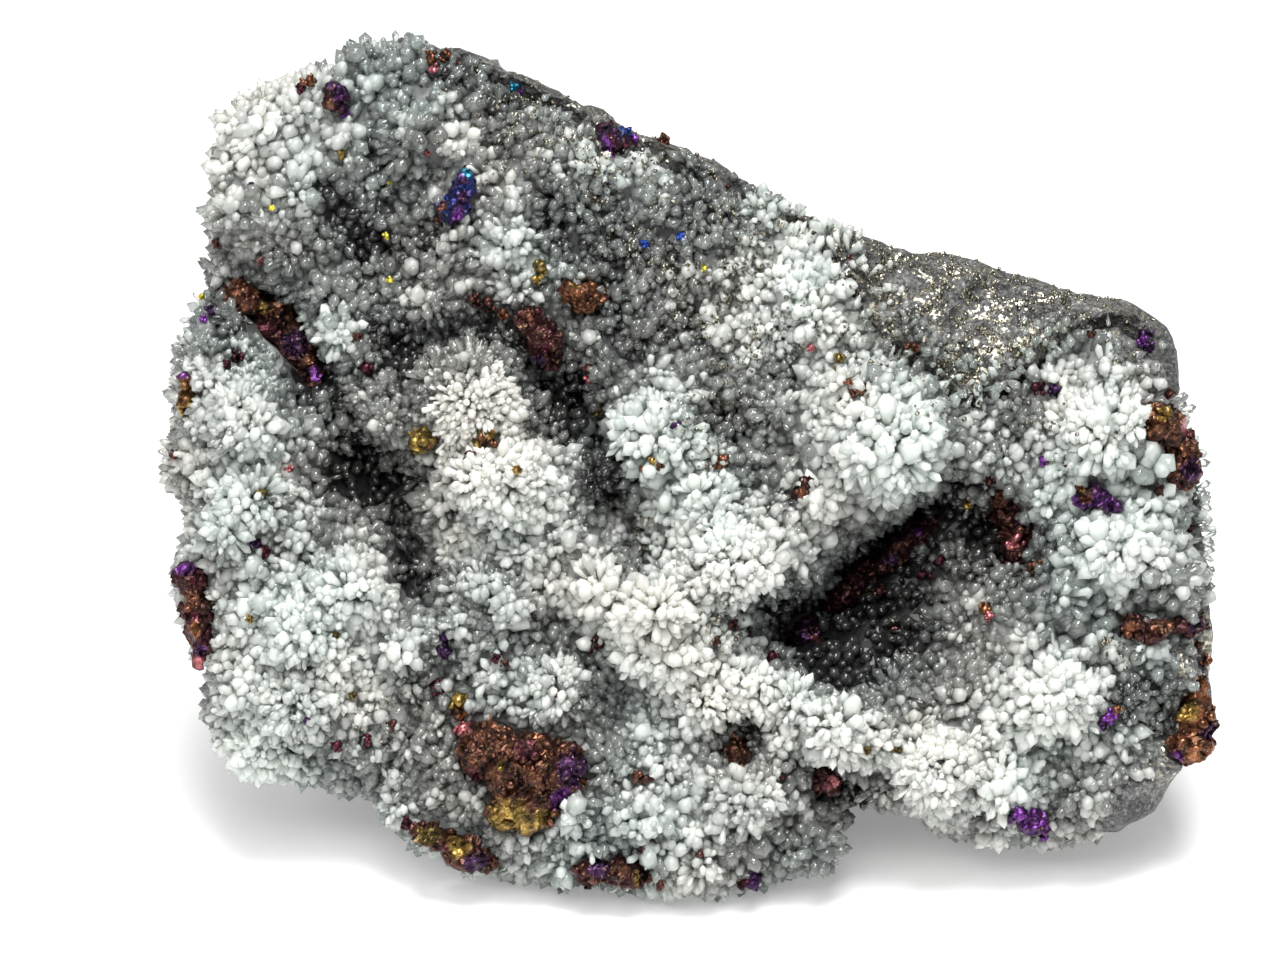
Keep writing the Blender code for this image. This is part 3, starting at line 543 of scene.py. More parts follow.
for name, tones in BED_TONES.items():
    made, tree, shader = new_material("quartz_bed_" + name)
    clouds = noise_node(tree, object_coords(tree), 260.0, 4.0, 0.55)
    stops = [(place, (tone * 0.97, tone, tone * 0.98)) for place, tone in zip((0.3, 0.5, 0.7), tones)]
    feed(tree, shader, {"Base Color": ramp_node(tree, clouds, stops), "Roughness": 0.3})
    bed.data.materials.append(made)
# Each face takes a painted shade tone where the light value is low and the painted light tone where it is
# high.
for polygon in bed.data.polygons:
    value = lights[polygon.vertices[0]]
    polygon.material_index = PAINTED_GROOVE_SHADE if value < -0.55 else PAINTED_HOLLOW_SHADE if value < 0.0 else PAINTED_LIT_TONE if value > 0.6 else GREY
    if rim[polygon.vertices[0]] > 0.5:
        polygon.material_index = RIM
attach(bed, ROOT)
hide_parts("quartz_druse")

# Crystals.

RING = np.array([[math.cos(k * math.pi / 3), math.sin(k * math.pi / 3)] for k in range(6)])
# Colour, deeper colour, transmission and roughness.
# The kinds go from palest to darkest. The first is partly painted light on the rosettes' lit tops and the
# fourth partly painted shade in hollows, besides the quartz's own white and grey; the last is painted shade
# alone, near-black crystals put in the darkest hollows.
KINDS = {
    "bright": ((0.99, 0.99, 0.97), (0.94, 0.95, 0.93), 0.38, 0.08),
    "milky": ((0.97, 0.98, 0.965), (0.87, 0.895, 0.885), 0.58, 0.05),
    "clear": ((0.93, 0.95, 0.94), (0.79, 0.82, 0.81), 0.85, 0.04),
    "grey": ((0.50, 0.515, 0.505), (0.28, 0.292, 0.29), 0.75, 0.06),
    "smoky": ((0.090, 0.088, 0.086), (0.026, 0.026, 0.026), 0.60, 0.10),
}
store = {kind: [] for kind in KINDS}
# Points of a crystal: its root, six at the shoulder and the tip.
TIP = 7
SIDES = np.array([[0, 1 + (k + 1) % 6, 1 + k] for k in range(6)]
                 + [[1 + k, 1 + (k + 1) % 6, TIP] for k in range(6)])
CRYSTALS_PER_PIECE = 15000


def add_crystal(kind, root, direction, width, length):
    """Six long sides that widen from the root, and a point whose faces aren't all alike."""
    direction = direction.normalized()
    tip = root + direction * length
    while not in_box(tip):
        length *= 0.85
        tip = root + direction * length
        if length < width:
            return
    if rim_share(tip) > chooser.uniform(0.4, 1.0):
        return
    side = direction.orthogonal().normalized()
    across = direction.cross(side)
    turn = chooser.uniform(0, math.pi / 3)
    c, s = math.cos(turn), math.sin(turn)
    side, across = side * c + across * s, across * c - side * s
    basis = np.array([side, across * chooser.uniform(0.7, 1.0)])
    ring = RING @ basis
    point = min(width * chooser.uniform(0.42, 0.70), length * 0.5)
    jitter = np.array([chooser.uniform(-0.17, 0.17) for _ in range(6)]) * width
    offset = (side * chooser.uniform(-0.1, 0.1) + across * chooser.uniform(-0.1, 0.1)) * width
    root, axis = np.array(root), np.array(direction)
    points = np.concatenate([
        [root],
        root + axis * (length - point + jitter)[:, None] + ring * width * 0.5,
        [np.array(tip + offset)],
    ])
    x, y, w = face_place(tip)
    if x > SMOOTH_FROM_X and w > -14.0 and y < top_edge(x) - 3.0:
        return
    store[kind].append(clipped(points))


# A kind from the painted light and shade value: paler kinds where it is high, darker where it is low.
def kind_for(light):
    light += chooser.gauss(0.0, 0.14)
    if light > 0.72:
        return "bright"
    if light > 0.15:
        return "milky"
    if light > -0.30:
        return "clear"
    return "grey" if light > -0.95 else "smoky"


def covers_mass(tip):
    """Whether a mass or lump lies right behind this place, as seen from in front."""
    hit = mass_tree.ray_cast(tip + OUT * 4.0 * MM, -OUT, 9.0 * MM)
    if hit[0] is None:
        return False
    wall = shell_tree.ray_cast(tip + OUT * 4.0 * MM, -OUT, 9.0 * MM)
    return wall[0] is None or wall[3] > hit[3] - 1.2 * MM


ROSETTES = [
    (884, 442, 56), (846, 414, 30), (914, 464, 30), (470, 390, 52), (498, 420, 36), (505, 485, 50),
    (545, 500, 34), (490, 600, 46), (455, 585, 30), (660, 440, 50), (636, 478, 32), (705, 500, 40),
    (735, 560, 48), (700, 585, 36), (655, 610, 34), (640, 650, 38), (675, 655, 34), (745, 682, 40),
    (705, 700, 32), (790, 700, 34), (832, 722, 42), (875, 745, 32), (930, 770, 38), (975, 790, 28),
    (1050, 680, 44), (1040, 720, 32), (1100, 425, 46), (1060, 415, 30), (1120, 540, 52), (1080, 560, 34),
    (1165, 580, 34), (1150, 500, 30), (350, 590, 46), (378, 605, 28), (300, 625, 40), (330, 650, 34),
    (250, 500, 44), (235, 530, 30), (250, 425, 44), (300, 435, 34), (378, 405, 34), (355, 385, 26),
    (300, 700, 44), (260, 690, 34), (250, 752, 30), (285, 755, 24), (552, 692, 42), (530, 660, 26),
    (595, 592, 32), (640, 800, 40), (742, 800, 42), (700, 860, 32), (1000, 782, 36), (1082, 790, 36),
    (1120, 770, 30), (820, 315, 30), (800, 285, 26), (835, 285, 22), (722, 335, 26), (750, 350, 20),
    (512, 238, 34), (490, 255, 24), (250, 132, 38), (290, 110, 30), (750, 235, 20), (692, 242, 22),
    (235, 210, 30), (300, 190, 30), (430, 300, 28), (340, 330, 26), (355, 300, 22), (560, 200, 26),
    (400, 110, 30), (640, 330, 28), (780, 400, 26), (600, 480, 22), (440, 500, 30), (820, 500, 30),
    (450, 690, 22), (610, 760, 30), (790, 850, 24), (880, 790, 22), (1130, 700, 28), (1165, 470, 22),
    (960, 700, 30), (890, 690, 26), (1060, 600, 28), (610, 530, 22), (1110, 380, 26), (1150, 640, 26),
    (815, 835, 30), (770, 500, 26), (560, 540, 30), (520, 550, 30), (400, 640, 26), (220, 600, 22),
]
rosettes = []
for x, y, size in ROSETTES:
    spot, normal = hit_from_front(druse_tree, x, y)
    if spot is None or rock_tree.find_nearest(spot)[3] < 1.2 * MM:
        continue
    radius = size * STEP_MM * chooser.uniform(0.92, 1.05)
    axis = (normal * 0.35 + outward_at(spot) * 0.65 + UP * 0.12).normalized()
    if radius < 4.0:
        rosettes.append((spot - axis * (0.60 * radius + 0.8) * MM, axis, radius))
        continue
    rosettes.append((spot - axis * (0.66 * radius + 0.8) * MM, axis, 0.88 * radius))
    turn = chooser.uniform(0, TURN)
    for k in range(4):
        angle = turn + k * math.pi / 2 + chooser.uniform(-0.5, 0.5)
        away = radius * chooser.uniform(0.5, 0.75) / STEP_MM
        side_spot, _ = hit_from_front(druse_tree, x + away * math.cos(angle), y + away * math.sin(angle))
        if side_spot is None or rock_tree.find_nearest(side_spot)[3] < 1.2 * MM:
            continue
        small_radius = radius * chooser.uniform(0.45, 0.66)
        tilted = (axis + (side_spot - spot) / (radius * MM) * 0.5).normalized()
        rosettes.append((side_spot - tilted * (0.55 * small_radius + 0.8) * MM, tilted, small_radius))

order = [int(i) for i in np.where((outer > 0.5) & (facing > 0.3) & (co[:, 2] > 1.6 * MM))[0]]
chooser.shuffle(order)
cells = {}
CELL = 6.0 * MM


def cell_of(p):
    return tuple(int(c // CELL) for c in p)


def remember(centre, radius):
    cells.setdefault(cell_of(centre), []).append((centre, radius))


def around_cell(grid, key):
    """What the grid holds in this cell and in the 26 that touch it."""
    for dx in (-1, 0, 1):
        for dy in (-1, 0, 1):
            for dz in (-1, 0, 1):
                yield from grid.get((key[0] + dx, key[1] + dy, key[2] + dz), ())


def near(p):
    return around_cell(cells, cell_of(p))


for centre, _, radius in rosettes:
    remember(centre, radius)
for index in order:
    light = lights[index]
    if light < -0.75:
        continue
    spot = Vector(co[index])
    radius = width_of(spot) * chooser.uniform(1.5, 3.0)
    axis = (Vector(no[index]) * 0.5 + Vector(ways[index]) * 0.5).normalized()
    centre = spot - axis * (0.55 * radius + 0.9 + chooser.uniform(0.0, 0.8)) * MM
    if any((centre - q).length < (0.62 * r + 0.55 * radius) * MM for q, r in near(centre)):
        continue
    rosettes.append((centre, axis, radius))
    remember(centre, radius)

rock_points, rock_ways = coordinates(nodes["matrix_rock"].data), normals(nodes["matrix_rock"].data)
# A few groups of crystals on the back and sides of the rock.
patches_left = 34
for index in chooser.sample(range(len(rock_points)), len(rock_points)):
    spot = Vector(rock_points[index])
    gap = druse_tree.find_nearest(spot)[3]
    x, y, w = face_place(spot)
    if patches_left == 0 or spot.z < 6 * MM or gap < 2.0 * MM or (w > -8.0 and 820 < x < 1120 and y < 400):
        continue
    radius = chooser.uniform(1.6, 3.4)
    centre = spot - Vector(rock_ways[index]) * radius * 0.62 * MM
    if any((centre - q).length < (0.7 * r + 0.6 * radius) * MM for q, r in near(centre)):
        continue
    rosettes.append((centre, Vector(rock_ways[index]), radius))
    remember(centre, radius)
    patches_left -= 1

# Crystals fan out to this angle from a rosette's axis.
SPREAD = math.radians(92.0)
SIZES = (0.55, 0.7, 0.85, 1.0, 1.1, 1.3, 1.6)
# Width, crowding and rise: the main crystals, then smaller ones between and below them. The rise also sets
# their kind, so the smaller ones are painted darker, as shade between the main crystals.
PASSES = ((1.0, 1.0, 0.05), (0.62, 1.5, -0.25))
for centre, axis, radius in rosettes:
    top = centre + axis * radius * MM
    base_width = width_of(top) * chooser.uniform(0.85, 1.15)
    light = painted_light_and_tone_at(top) + chooser.gauss(0, 0.20)
    side = axis.orthogonal().normalized()
    across = axis.cross(side)
    shape = random_vector(50)
    for scale, crowd, rise in PASSES:
        width = base_width * scale
        total = int(2 * math.pi * radius ** 2 * (1 - math.cos(SPREAD)) / (crowd * width ** 2))
        start = chooser.uniform(0, TURN)
        for k in range(total):
            cosine = 1 - (k + chooser.uniform(0.0, 1.0)) / total * (1 - math.cos(SPREAD))
            sine = math.sqrt(max(0.0, 1 - cosine * cosine))
            around = start + k * SPIRAL + chooser.uniform(-0.5, 0.5)
            direction = axis * cosine + (side * math.cos(around) + across * math.sin(around)) * sine
            size = width * chooser.choice(SIZES)
            reach = radius * (1.0 + 0.30 * noise.noise(shape + direction * 2.4)) + 3.0 * rise * base_width
            reach += chooser.uniform(-0.30, 0.45) * base_width * (1.3 - 0.5 * cosine)
            if scale == 1.0 and chooser.random() < 0.06:
                size, reach = size * 1.35, reach + 0.45 * base_width
            tip = centre + direction * reach * MM
            if any(q is not centre and (tip - q).length < 0.80 * r * MM for q, r in near(tip)):
                continue
            if covers_mass(tip) and chooser.random() < 0.93:
                continue
            length = 0.95 * reach + 0.4
            root = tip - direction * length * MM
            bend = random_vector(0.34)
            # Crystals leaning away from the rosette's axis get darker kinds: painted shade on its flanks.
            value = light - 0.70 * (1 - cosine) + rise
            add_crystal(kind_for(value), root, direction + bend, size * MM, length * MM)


def spaced(candidates, gap):
    """Points of the bed that keep this gap, under a millimetre, from each other, taken in turn."""
    grid, chosen = {}, []
    for index in candidates:
        p = co[index]
        key = tuple(int(c // (1.0 * MM)) for c in p)
        clash = any(
            (q[0] - p[0]) ** 2 + (q[1] - p[1]) ** 2 + (q[2] - p[2]) ** 2 < gap * gap
            for q in around_cell(grid, key)
        )
        if not clash:
            grid.setdefault(key, []).append(p)
            chosen.append(index)
    return chosen


# Short crystals in the gaps between rosettes, painted darker than the rosettes as shade in the gaps.
filler = [int(i) for i in np.where((outer > 0.04) & (facing > 0.1) & (co[:, 2] > 1.0 * MM))[0]]
chooser.shuffle(filler)
for index in spaced(filler, 0.95 * MM):
    light = lights[index]
    width = width_of(Vector(co[index])) * chooser.uniform(0.7, 1.5)
    direction = Vector(no[index]) * 0.7 + Vector(ways[index]) * 0.5
    direction = (direction + random_vector(0.65)).normalized()
    spot = Vector(sunk[index]) - direction * 0.4 * MM
    length = max((depth[index] / MM + 0.3) * chooser.uniform(0.35, 0.85), 1.5 * width)
    tip = spot + direction * length * MM
    if any((tip - q).length < 0.85 * r * MM for q, r in near(tip)):
        continue
    if covers_mass(tip) and chooser.random() < 0.9:
        continue
    root = spot - direction * 1.2 * MM
    add_crystal(kind_for(light - 0.40), root, direction, width * MM, (length + 1.2) * MM)

# Crystals on the rock where the crust ends, so that no gap shows.
seam = fine_copy(nodes["matrix_rock"], "seam", 1.0 * MM)
for point, way in zip(coordinates(seam.data), normals(seam.data)):
    spot, way = Vector(point), Vector(way)
    x, y, w = face_place(spot)
    gap = druse_tree.find_nearest(spot)[3] / MM
    if gap > 5.5 or gap < 0.3 or spot.z < 2.0 * MM or chooser.random() > 1.1 - 0.19 * gap:
        continue
    if x > SMOOTH_FROM_X and (y < top_edge(x) + 6.0 or (w < -9.0 and y < top_edge(x) + 30.0)):
        continue
    if druse_tree.ray_cast(spot + way * 0.2 * MM, way, 6.0 * MM)[0] is not None:
        continue
    if rock_tree.ray_cast(spot + way * 0.3 * MM, way, 4.0 * MM)[0] is not None:
        continue
    direction = (way + random_vector(0.6)).normalized()
    width = chooser.uniform(0.6, 1.2)
    length = width * chooser.uniform(1.3, 2.0) + max(0.0, 1.4 - 0.4 * gap)
    if covers_mass(spot + direction * length * MM):
        continue
    light = field_at(PAINTED_LIGHT_SHADE_AND_TONE, BASE_PAINTED_LIGHT_AND_TONE, x, y) if w > -12 else 0.1
    add_crystal(kind_for(light - 0.35), spot - direction * 0.5 * length * MM, direction, width * MM,
                1.5 * length * MM)
bpy.data.objects.remove(seam)

for kind, (colour, shade_colour, transmission, roughness) in KINDS.items():
    made = quartz_material("quartz_" + kind, colour, shade_colour, transmission, roughness)
    for part, start in enumerate(range(0, len(store[kind]), CRYSTALS_PER_PIECE)):
        some = store[kind][start:start + CRYSTALS_PER_PIECE]
        sides = np.concatenate([SIDES + (TIP + 1) * k for k in range(len(some))])
        piece = object_from(f"quartz_{kind}_{part + 1}", np.concatenate(some), sides, made)
        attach(piece, ROOT)

# Rock.


# Where fine pyrite covers the rock: x, y, w in millimetres, radius in metres. The last two are on the back.
PYRITE_PATCHES = (
    (960, 330, 0.0, 0.020), (700, 170, -2.0, 0.016), (560, 100, -2.0, 0.010), (1195, 700, -4.0, 0.010),
    (800, 300, -34.0, 0.012), (500, 500, -44.0, 0.010),
)
# Broken faces of the rock: how many to a metre, and how far they stand out.
BROKEN_FACES = ((210.0, 0.9), (105.0, 1.5))
rock = fine_copy(nodes["matrix_rock"], "rock_surface", ROCK_VOXEL, 1)
rco, rno = coordinates(rock.data), normals(rock.data)
moved = np.empty_like(rco)
for i, (p, n) in enumerate(zip(rco, rno)):
    v = Vector(p)
    rough = noise.fractal(v * 260.0, 0.7, 2.1, 4) * 0.45 + noise.noise(v * 900.0) * 0.15
    for blocks, rise in BROKEN_FACES:
        _, cell = noise.voronoi(v * blocks)
        rough += noise.noise_vector(cell[0] * 5.3).dot(v * blocks - cell[0]) * rise - 0.1
    amount = max(min(rough, 0.25), -1.7) * MM
    if p[2] < 1.0 * MM:
        amount = 0.0
    moved[i] = p + n * amount
move_points(rock, np.clip(moved, low, high))
made, tree, shader = new_material("grey_rock")
coords = object_coords(tree)
clouds = noise_node(tree, coords, 240.0, 8.0, 0.75)
grit = noise_node(tree, coords, 2400.0, 2.0, 0.6)
tone = math_node(tree, "MULTIPLY_ADD", grit, 0.55, math_node(tree, "MULTIPLY", clouds, 0.45))
stone = ramp_node(tree, tone, [
    (0.38, (0.012, 0.012, 0.013)), (0.46, (0.040, 0.040, 0.041)),
    (0.54, (0.095, 0.095, 0.093)), (0.63, (0.24, 0.24, 0.23))])
bands = noise_node(tree, coords, 34.0, 4.0, 0.55)
vein = math_node(tree, "MULTIPLY", span_node(tree, bands, 0.485, 0.497), span_node(tree, bands, 0.515, 0.503))
voronoi = new_node(tree, "TexVoronoi", {"Vector": coords, "Scale": 3000.0})
split = new_node(tree, "SeparateColor", {"Color": voronoi.outputs["Color"]})
crowd = noise_node(tree, coords, 420.0, 3.0, 0.6)
specks = span_node(tree, math_node(tree, "MULTIPLY_ADD", crowd, 2.6, split.outputs["Red"]), 2.02, 2.08)
wobble = noise_node(tree, coords, 90.0, 3.0, 0.6)
here = None
for x, y, w, radius in PYRITE_PATCHES:
    mask = distance_mask(tree, coords, wobble, face_point(x, y, w), radius)
    here = mask if here is None else math_node(tree, "MAXIMUM", here, mask)
metal = math_node(tree, "MULTIPLY", here, specks)
vein = math_node(tree, "MULTIPLY", vein, span_node(tree, here, 0.0, 1.0, 0.5, 0.0))
stone = mix_node(tree, vein, stone, (0.50, 0.51, 0.50))
glint = mix_node(tree, split.outputs["Green"], (0.16, 0.145, 0.11), (0.55, 0.52, 0.42))
feed(tree, shader, {
    "Base Color": mix_node(tree, metal, stone, glint), "Metallic": metal,
    "Roughness": span_node(tree, metal, 0.0, 1.0, 0.55, 0.28), "Normal": bump_node(tree, tone, 0.8, 0.0003),
})
rock.data.materials.clear()
rock.data.materials.append(made)
bed.data.materials[RIM] = made
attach(rock, ROOT)
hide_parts("matrix_rock")

# Pyrite grains: x, y, radius, how many.

PYRITE_ON_ROCK = [
    (960, 320, 165, 6500), (830, 240, 60, 400), (700, 160, 90, 500), (560, 100, 90, 300),
    (1190, 760, 60, 300), (1195, 560, 60, 120), (1100, 310, 70, 250),
]
PYRITE_ON_CRYSTALS = [
    (650, 190, 80, 420), (720, 340, 45, 260), (745, 235, 40, 200), (560, 150, 60, 160), (720, 620, 26, 90),
    (1110, 650, 22, 70), (1180, 765, 40, 120), (700, 400, 40, 160), (900, 620, 45, 90), (870, 340, 35, 120),
    (480, 130, 60, 140), (1040, 420, 40, 60), (1120, 340, 40, 110), (640, 530, 20, 50), (700, 290, 40, 160),
    (610, 160, 50, 200), (940, 400, 40, 90), (650, 255, 30, 90), (790, 215, 30, 120), (860, 270, 30, 90),
    (540, 110, 40, 100), (790, 330, 30, 60), (700, 455, 18, 40), (370, 720, 40, 50), (420, 690, 20, 30),
]
crystal_points, crystal_faces, offset = [], [], 0
for kind in KINDS:
    for points in store[kind]:
        x, y, w = face_place(Vector(points[TIP]))
        if w > -20 and any((x - a) ** 2 + (y - b) ** 2 < (r + 8) ** 2 for a, b, r, _ in PYRITE_ON_CRYSTALS):
            crystal_points += points.tolist()
            crystal_faces += (SIDES + offset).tolist()
            offset += TIP + 1
crystal_tree = BVHTree.FromPolygons(crystal_points, crystal_faces)
fine_rock_tree = tree_of(rock)
grains, grain_faces = [], []
GRAIN_EDGES = (0.14, 0.18, 0.22, 0.26, 0.32, 0.42)
CUBE = np.array([(x, y, z) for x in (-1, 1) for y in (-1, 1) for z in (-1, 1)], float) * 0.5
CUBE_FACES = np.array([(0, 1, 3, 2), (4, 6, 7, 5), (0, 4, 5, 1), (2, 3, 7, 6), (0, 2, 6, 4), (1, 5, 7, 3)])


def add_grain(spot, edge):
    shape = np.array([1.0, chooser.uniform(0.6, 1.0), chooser.uniform(0.6, 1.0)])
    points = (CUBE * shape * edge) @ random_basis() + np.array(spot)
    if all(in_box(Vector(p), 0.00002) for p in points):
        grain_faces.append(CUBE_FACES + 8 * len(grains))
        grains.append(points)


for spots, surface in ((PYRITE_ON_ROCK, fine_rock_tree), (PYRITE_ON_CRYSTALS, crystal_tree)):
    for x, y, radius, many in spots:
        for _ in range(many):
            away, around = radius * math.sqrt(chooser.random()), chooser.uniform(0, 6.283)
            start = face_point(x + away * math.cos(around), y + away * math.sin(around), 40.0)
            spot, _, _, length = surface.ray_cast(start, -OUT)
            if spot is None or face_place(spot)[2] < -22.0:
                continue
            if surface is fine_rock_tree:
                wall = druse_tree.ray_cast(start, -OUT)
                if wall[0] is not None and wall[3] < length:
                    continue
            if noise.noise(spot * 420.0) < chooser.uniform(-0.45, 0.25):
                continue
            edge = chooser.choice(GRAIN_EDGES) * MM
            for _ in range(chooser.choice((1, 1, 2))):
                add_grain(spot + noise.random_unit_vector() * chooser.uniform(0, 0.2) * MM, edge)
made, tree, shader = new_material("pyrite")
tint = ramp_node(tree, noise_node(tree, object_coords(tree), 1800.0, 2.0, 0.55), [
    (0.32, (0.05, 0.045, 0.034)), (0.50, (0.22, 0.20, 0.15)), (0.64, (0.58, 0.55, 0.45))])
feed(tree, shader, {"Base Color": tint, "Metallic": 0.9, "Roughness": 0.25})
pyrite = object_from("pyrite_grains", np.concatenate(grains), np.concatenate(grain_faces), made)
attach(pyrite, ROOT)

# Chalcopyrite: two tints that it wanders between, and patches of other tints as x, y, radius, tint.

LOOKS = {
    "lower_mass": ("brown", "bronze", [
        (512, 815, 24, "gold"), (545, 812, 12, "gold"), (578, 762, 20, "purple"), (562, 790, 12, "violet"),
        (466, 728, 15, "pink"), (530, 742, 14, "maroon"), (503, 757, 6, "gold"), (480, 770, 12, "maroon"),
    ]),
    "lower_left": ("bronze", "brown", [
        (432, 824, 15, "olive"), (462, 838, 12, "gold"), (480, 856, 13, "purple"), (446, 842, 8, "maroon"),
    ]),
    "bottom": ("maroon", "brown", [
        (642, 868, 10, "gold"), (600, 860, 10, "purple"), (620, 862, 9, "bronze"),
    ]),
    "left_edge": ("brown", "maroon", [
        (190, 565, 11, "violet"), (204, 662, 8, "pink"), (206, 648, 7, "purple"), (196, 598, 11, "bronze"),
        (200, 628, 9, "orange"),
    ]),
    "left_rim": ("orange", "gold", [(191, 375, 8, "violet"), (195, 412, 7, "bronze")]),
    "upper_left": ("brown", "bronze", [
        (238, 292, 12, "bronze"), (262, 308, 7, "gold"), (272, 330, 14, "maroon"), (296, 344, 15, "purple"),
        (316, 374, 9, "violet"), (319, 360, 5, "blue"), (315, 393, 6, "pink"), (302, 380, 9, "maroon"),
    ]),
    "blue_crystals": ("blue", "purple", [
        (462, 222, 9, "violet"), (444, 214, 8, "bronze"), (470, 179, 6, "cyan"),
    ]),
    "top_left": ("maroon", "purple", [(347, 98, 8, "violet"), (334, 112, 7, "bronze")]),
    "top_purple": ("purple", "maroon", [
        (605, 148, 8, "violet"), (621, 136, 7, "blue"), (610, 160, 6, "pink"),
    ]),
    "centre_dark": ("brown", "maroon", [(531, 318, 8, "bronze"), (540, 365, 9, "purple")]),
    "centre_bronze": ("bronze", "orange", [
        (575, 291, 6, "gold"), (606, 296, 8, "brown"), (590, 312, 7, "orange"),
    ]),
    "gold_pair": ("olive", "gold", [(486, 440, 6, "bronze")]),
    "gold_left": ("olive", "gold", [(434, 450, 6, "bronze")]),
    "red_centre": ("brown", "maroon", [(797, 492, 6, "orange")]),
    "right_edge": ("brown", "bronze", [
        (1150, 413, 11, "gold"), (1176, 428, 9, "pink"), (1136, 425, 10, "bronze"), (1181, 470, 12, "purple"),
        (1168, 486, 9, "maroon"),
    ]),
    "violet_right": ("violet", "purple", [(1076, 492, 10, "bronze"), (1072, 488, 5, "gold")]),
    "cavity_upper": ("maroon", "brown", [
        (918, 530, 7, "violet"), (892, 560, 8, "purple"), (930, 522, 5, "pink"),
    ]),
    "cavity_lower": ("maroon", "purple", [(800, 632, 7, "purple"), (816, 640, 5, "pink")]),
    "inner_right": ("maroon", "brown", [
        (996, 498, 12, "bronze"), (1012, 541, 9, "pink"), (1032, 566, 8, "gold"), (1020, 520, 8, "purple"),
    ]),
    "right_bar": ("maroon", "brown", [
        (1150, 620, 12, "bronze"), (1120, 626, 8, "orange"), (1186, 625, 9, "purple"),
    ]),
    "right_corner": ("bronze", "orange", [
        (1176, 706, 12, "gold"), (1202, 728, 10, "purple"), (1188, 748, 10, "orange"),
        (1168, 752, 7, "violet"),
    ]),
    "lower_bronze": ("bronze", "brown", [(738, 762, 6, "orange")]),
    "lower_pink": ("brown", "maroon", [(831, 776, 9, "pink")]),
    "lower_purple": ("purple", "violet", [(1014, 812, 6, "maroon")]),
}


def tarnish_material(name, first, second, patches):
    """Tarnished metal: two tints in blotches, with near-black blotches as painted dark reflections and very
    bright ones as painted glints, and patches of other tints.
    """
    made, tree, shader = new_material(name)
    coords = object_coords(tree)
    blotches = noise_node(tree, coords, 560.0, 6.0, 0.75)
    colour = ramp_node(tree, blotches, [
        (0.39, shade(TINTS[first], 0.06)), (0.46, shade(TINTS[first], 0.7)),
        (0.53, shade(TINTS[second], 0.7)), (0.59, shade(TINTS[second], 1.2)),
        (0.63, shade(TINTS[second], 2.4)), (0.66, shade(TINTS[first], 0.3)),
    ])
    wobble = noise_node(tree, coords, 900.0, 4.0, 0.7)
    for x, y, radius, tint in patches:
        spot = hit_from_front(mass_tree, x, y)[0] or face_point(x, y)
        mask = distance_mask(tree, coords, wobble, spot, radius * STEP_MM * MM)
        # In the patch too, the near-black and the brightest stops are painted dark reflections and painted
        # glints.
        inner = ramp_node(tree, blotches, [
            (0.39, shade(TINTS[tint], 0.08)), (0.46, shade(TINTS[tint], 0.6)), (0.54, TINTS[tint]),
            (0.60, shade(TINTS[tint], 2.0)), (0.66, shade(TINTS[first], 0.4))])
        colour = mix_node(tree, math_node(tree, "MULTIPLY", mask, 0.9), colour, inner)
    # Fine bright specks: painted glints.
    painted_glints = span_node(tree, noise_node(tree, coords, 2600.0, 2.0, 0.6), 0.62, 0.68)
    feed(tree, shader, {
        "Base Color": mix_node(tree, math_node(tree, "MULTIPLY", painted_glints, 0.4), colour, (0.50, 0.33, 0.13)),
        "Metallic": 0.8, "Roughness": span_node(tree, blotches, 0.35, 0.65, 0.45, 0.25),
        "Normal": metal_bump(tree, coords),
    })
    return made


def facet(obj, blocks, amount):
    """Blocky grains: each place goes on to the tilted plane of the random cell that it is in."""
    co, no = coordinates(obj.data), normals(obj.data)
    out = np.empty_like(co)
    for i, (p, n) in enumerate(zip(co, no)):
        v = Vector(p) * blocks
        _, cell = noise.voronoi(v)
        tilt = noise.noise_vector(cell[0] * 4.7)
        step = tilt.dot(v - cell[0]) * 1.6 + noise.noise(cell[0] * 2.9) * 0.9 - 0.15
        out[i] = p + n * max(min(step, 0.8), -1.1) * amount
    move_points(obj, clipped(out))


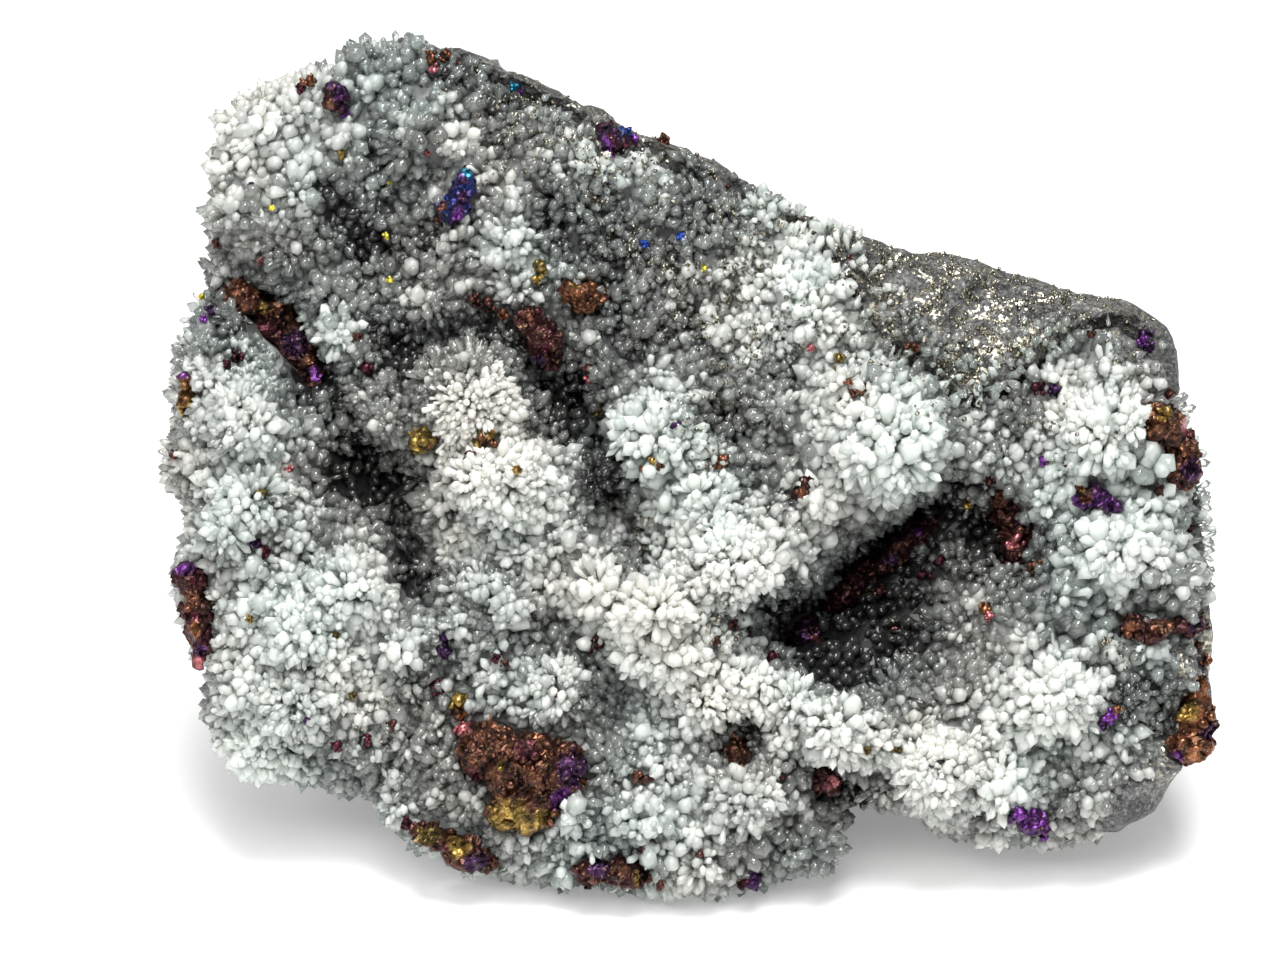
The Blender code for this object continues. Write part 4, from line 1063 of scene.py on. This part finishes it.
for name in mass_names:
    mass = fine_copy(nodes[name], name + "_surface", MASS_VOXEL, 1)
    places, ways_out = coordinates(mass.data), normals(mass.data)
    facet(mass, 420.0, 0.95 * MM)
    facet(mass, 1100.0, 0.30 * MM)
    first, second, patches = LOOKS[name.replace("chalcopyrite_", "")]
    made = tarnish_material(name, first, second, patches)
    mass.data.materials.clear()
    mass.data.materials.append(made)
    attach(mass, ROOT)
    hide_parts(name)
    blocks = ([], [])
    front = [i for i in range(len(places)) if Vector(ways_out[i]).dot(OUT) > -0.2]
    for _ in range(int(len(front) * 0.0125) + 5):
        i = chooser.choice(front)
        size = chooser.uniform(0.35, 1.0) * MM
        centre = Vector(places[i]) - Vector(ways_out[i]) * size * 0.45
        if in_box(centre, size * 1.5):
            nugget(blocks, centre, size)
    if blocks[0]:
        piece = object_from(name + "_blocks", np.concatenate(blocks[0]), np.concatenate(blocks[1]), made)
        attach(piece, ROOT)

# Floor, light and camera.

floor = bpy.data.meshes.new("floor")
floor.from_pydata([(-4, -4, 0), (4, -4, 0), (4, 4, 0), (-4, 4, 0)], [], [(0, 1, 2, 3)])
floor = bpy.data.objects.new("floor", floor)
bpy.context.scene.collection.objects.link(floor)
made, tree, shader = new_material("floor")
feed(tree, shader, {
    "Base Color": (0.94, 0.94, 0.94), "Roughness": 0.35,
    "Emission Color": (1.0, 1.0, 1.0), "Emission Strength": 0.24,
})
floor.data.materials.append(made)

world = bpy.data.worlds.new("studio")
bpy.context.scene.world = world
world.use_nodes = True
feed(world.node_tree, world.node_tree.nodes["Background"], {"Color": (1.0, 1.0, 1.0), "Strength": 0.36})


def area_light(name, place, aim, size, power):
    data = bpy.data.lights.new(name, "AREA")
    data.shape = "DISK"
    data.size = size
    data.energy = power
    obj = bpy.data.objects.new(name, data)
    bpy.context.scene.collection.objects.link(obj)
    obj.location = place
    obj.rotation_euler = (Vector(aim) - Vector(place)).to_track_quat("-Z", "Y").to_euler()
    return obj


area_light("overhead", (0.04, -0.14, 0.70), (0.0, 0.0, 0.04), 0.36, 5.6)
area_light("front_left", (-0.45, -0.5, 0.5), (0.0, 0.0, 0.04), 0.3, 0.8)
area_light("front_high", face_point(250, -1500, 480.0), (0.0, 0.0, 0.04), 0.3, 1.15)

camera = bpy.data.cameras.new("camera")
# The camera's distance from the face in millimetres, and the height w at which the picture steps hold.
DISTANCE = 450.0
REFERENCE_W = -7.0
camera.lens = 36.0 * (DISTANCE - REFERENCE_W) / (1280 * STEP_MM)
camera.clip_start = 0.01
camera = bpy.data.objects.new("camera", camera)
bpy.context.scene.collection.objects.link(camera)
camera.location = face_point(640, 480, DISTANCE)
camera.rotation_euler = (-OUT).to_track_quat("-Z", "Y").to_euler()
bpy.context.scene.camera = camera
bpy.context.scene.view_settings.view_transform = "Standard"
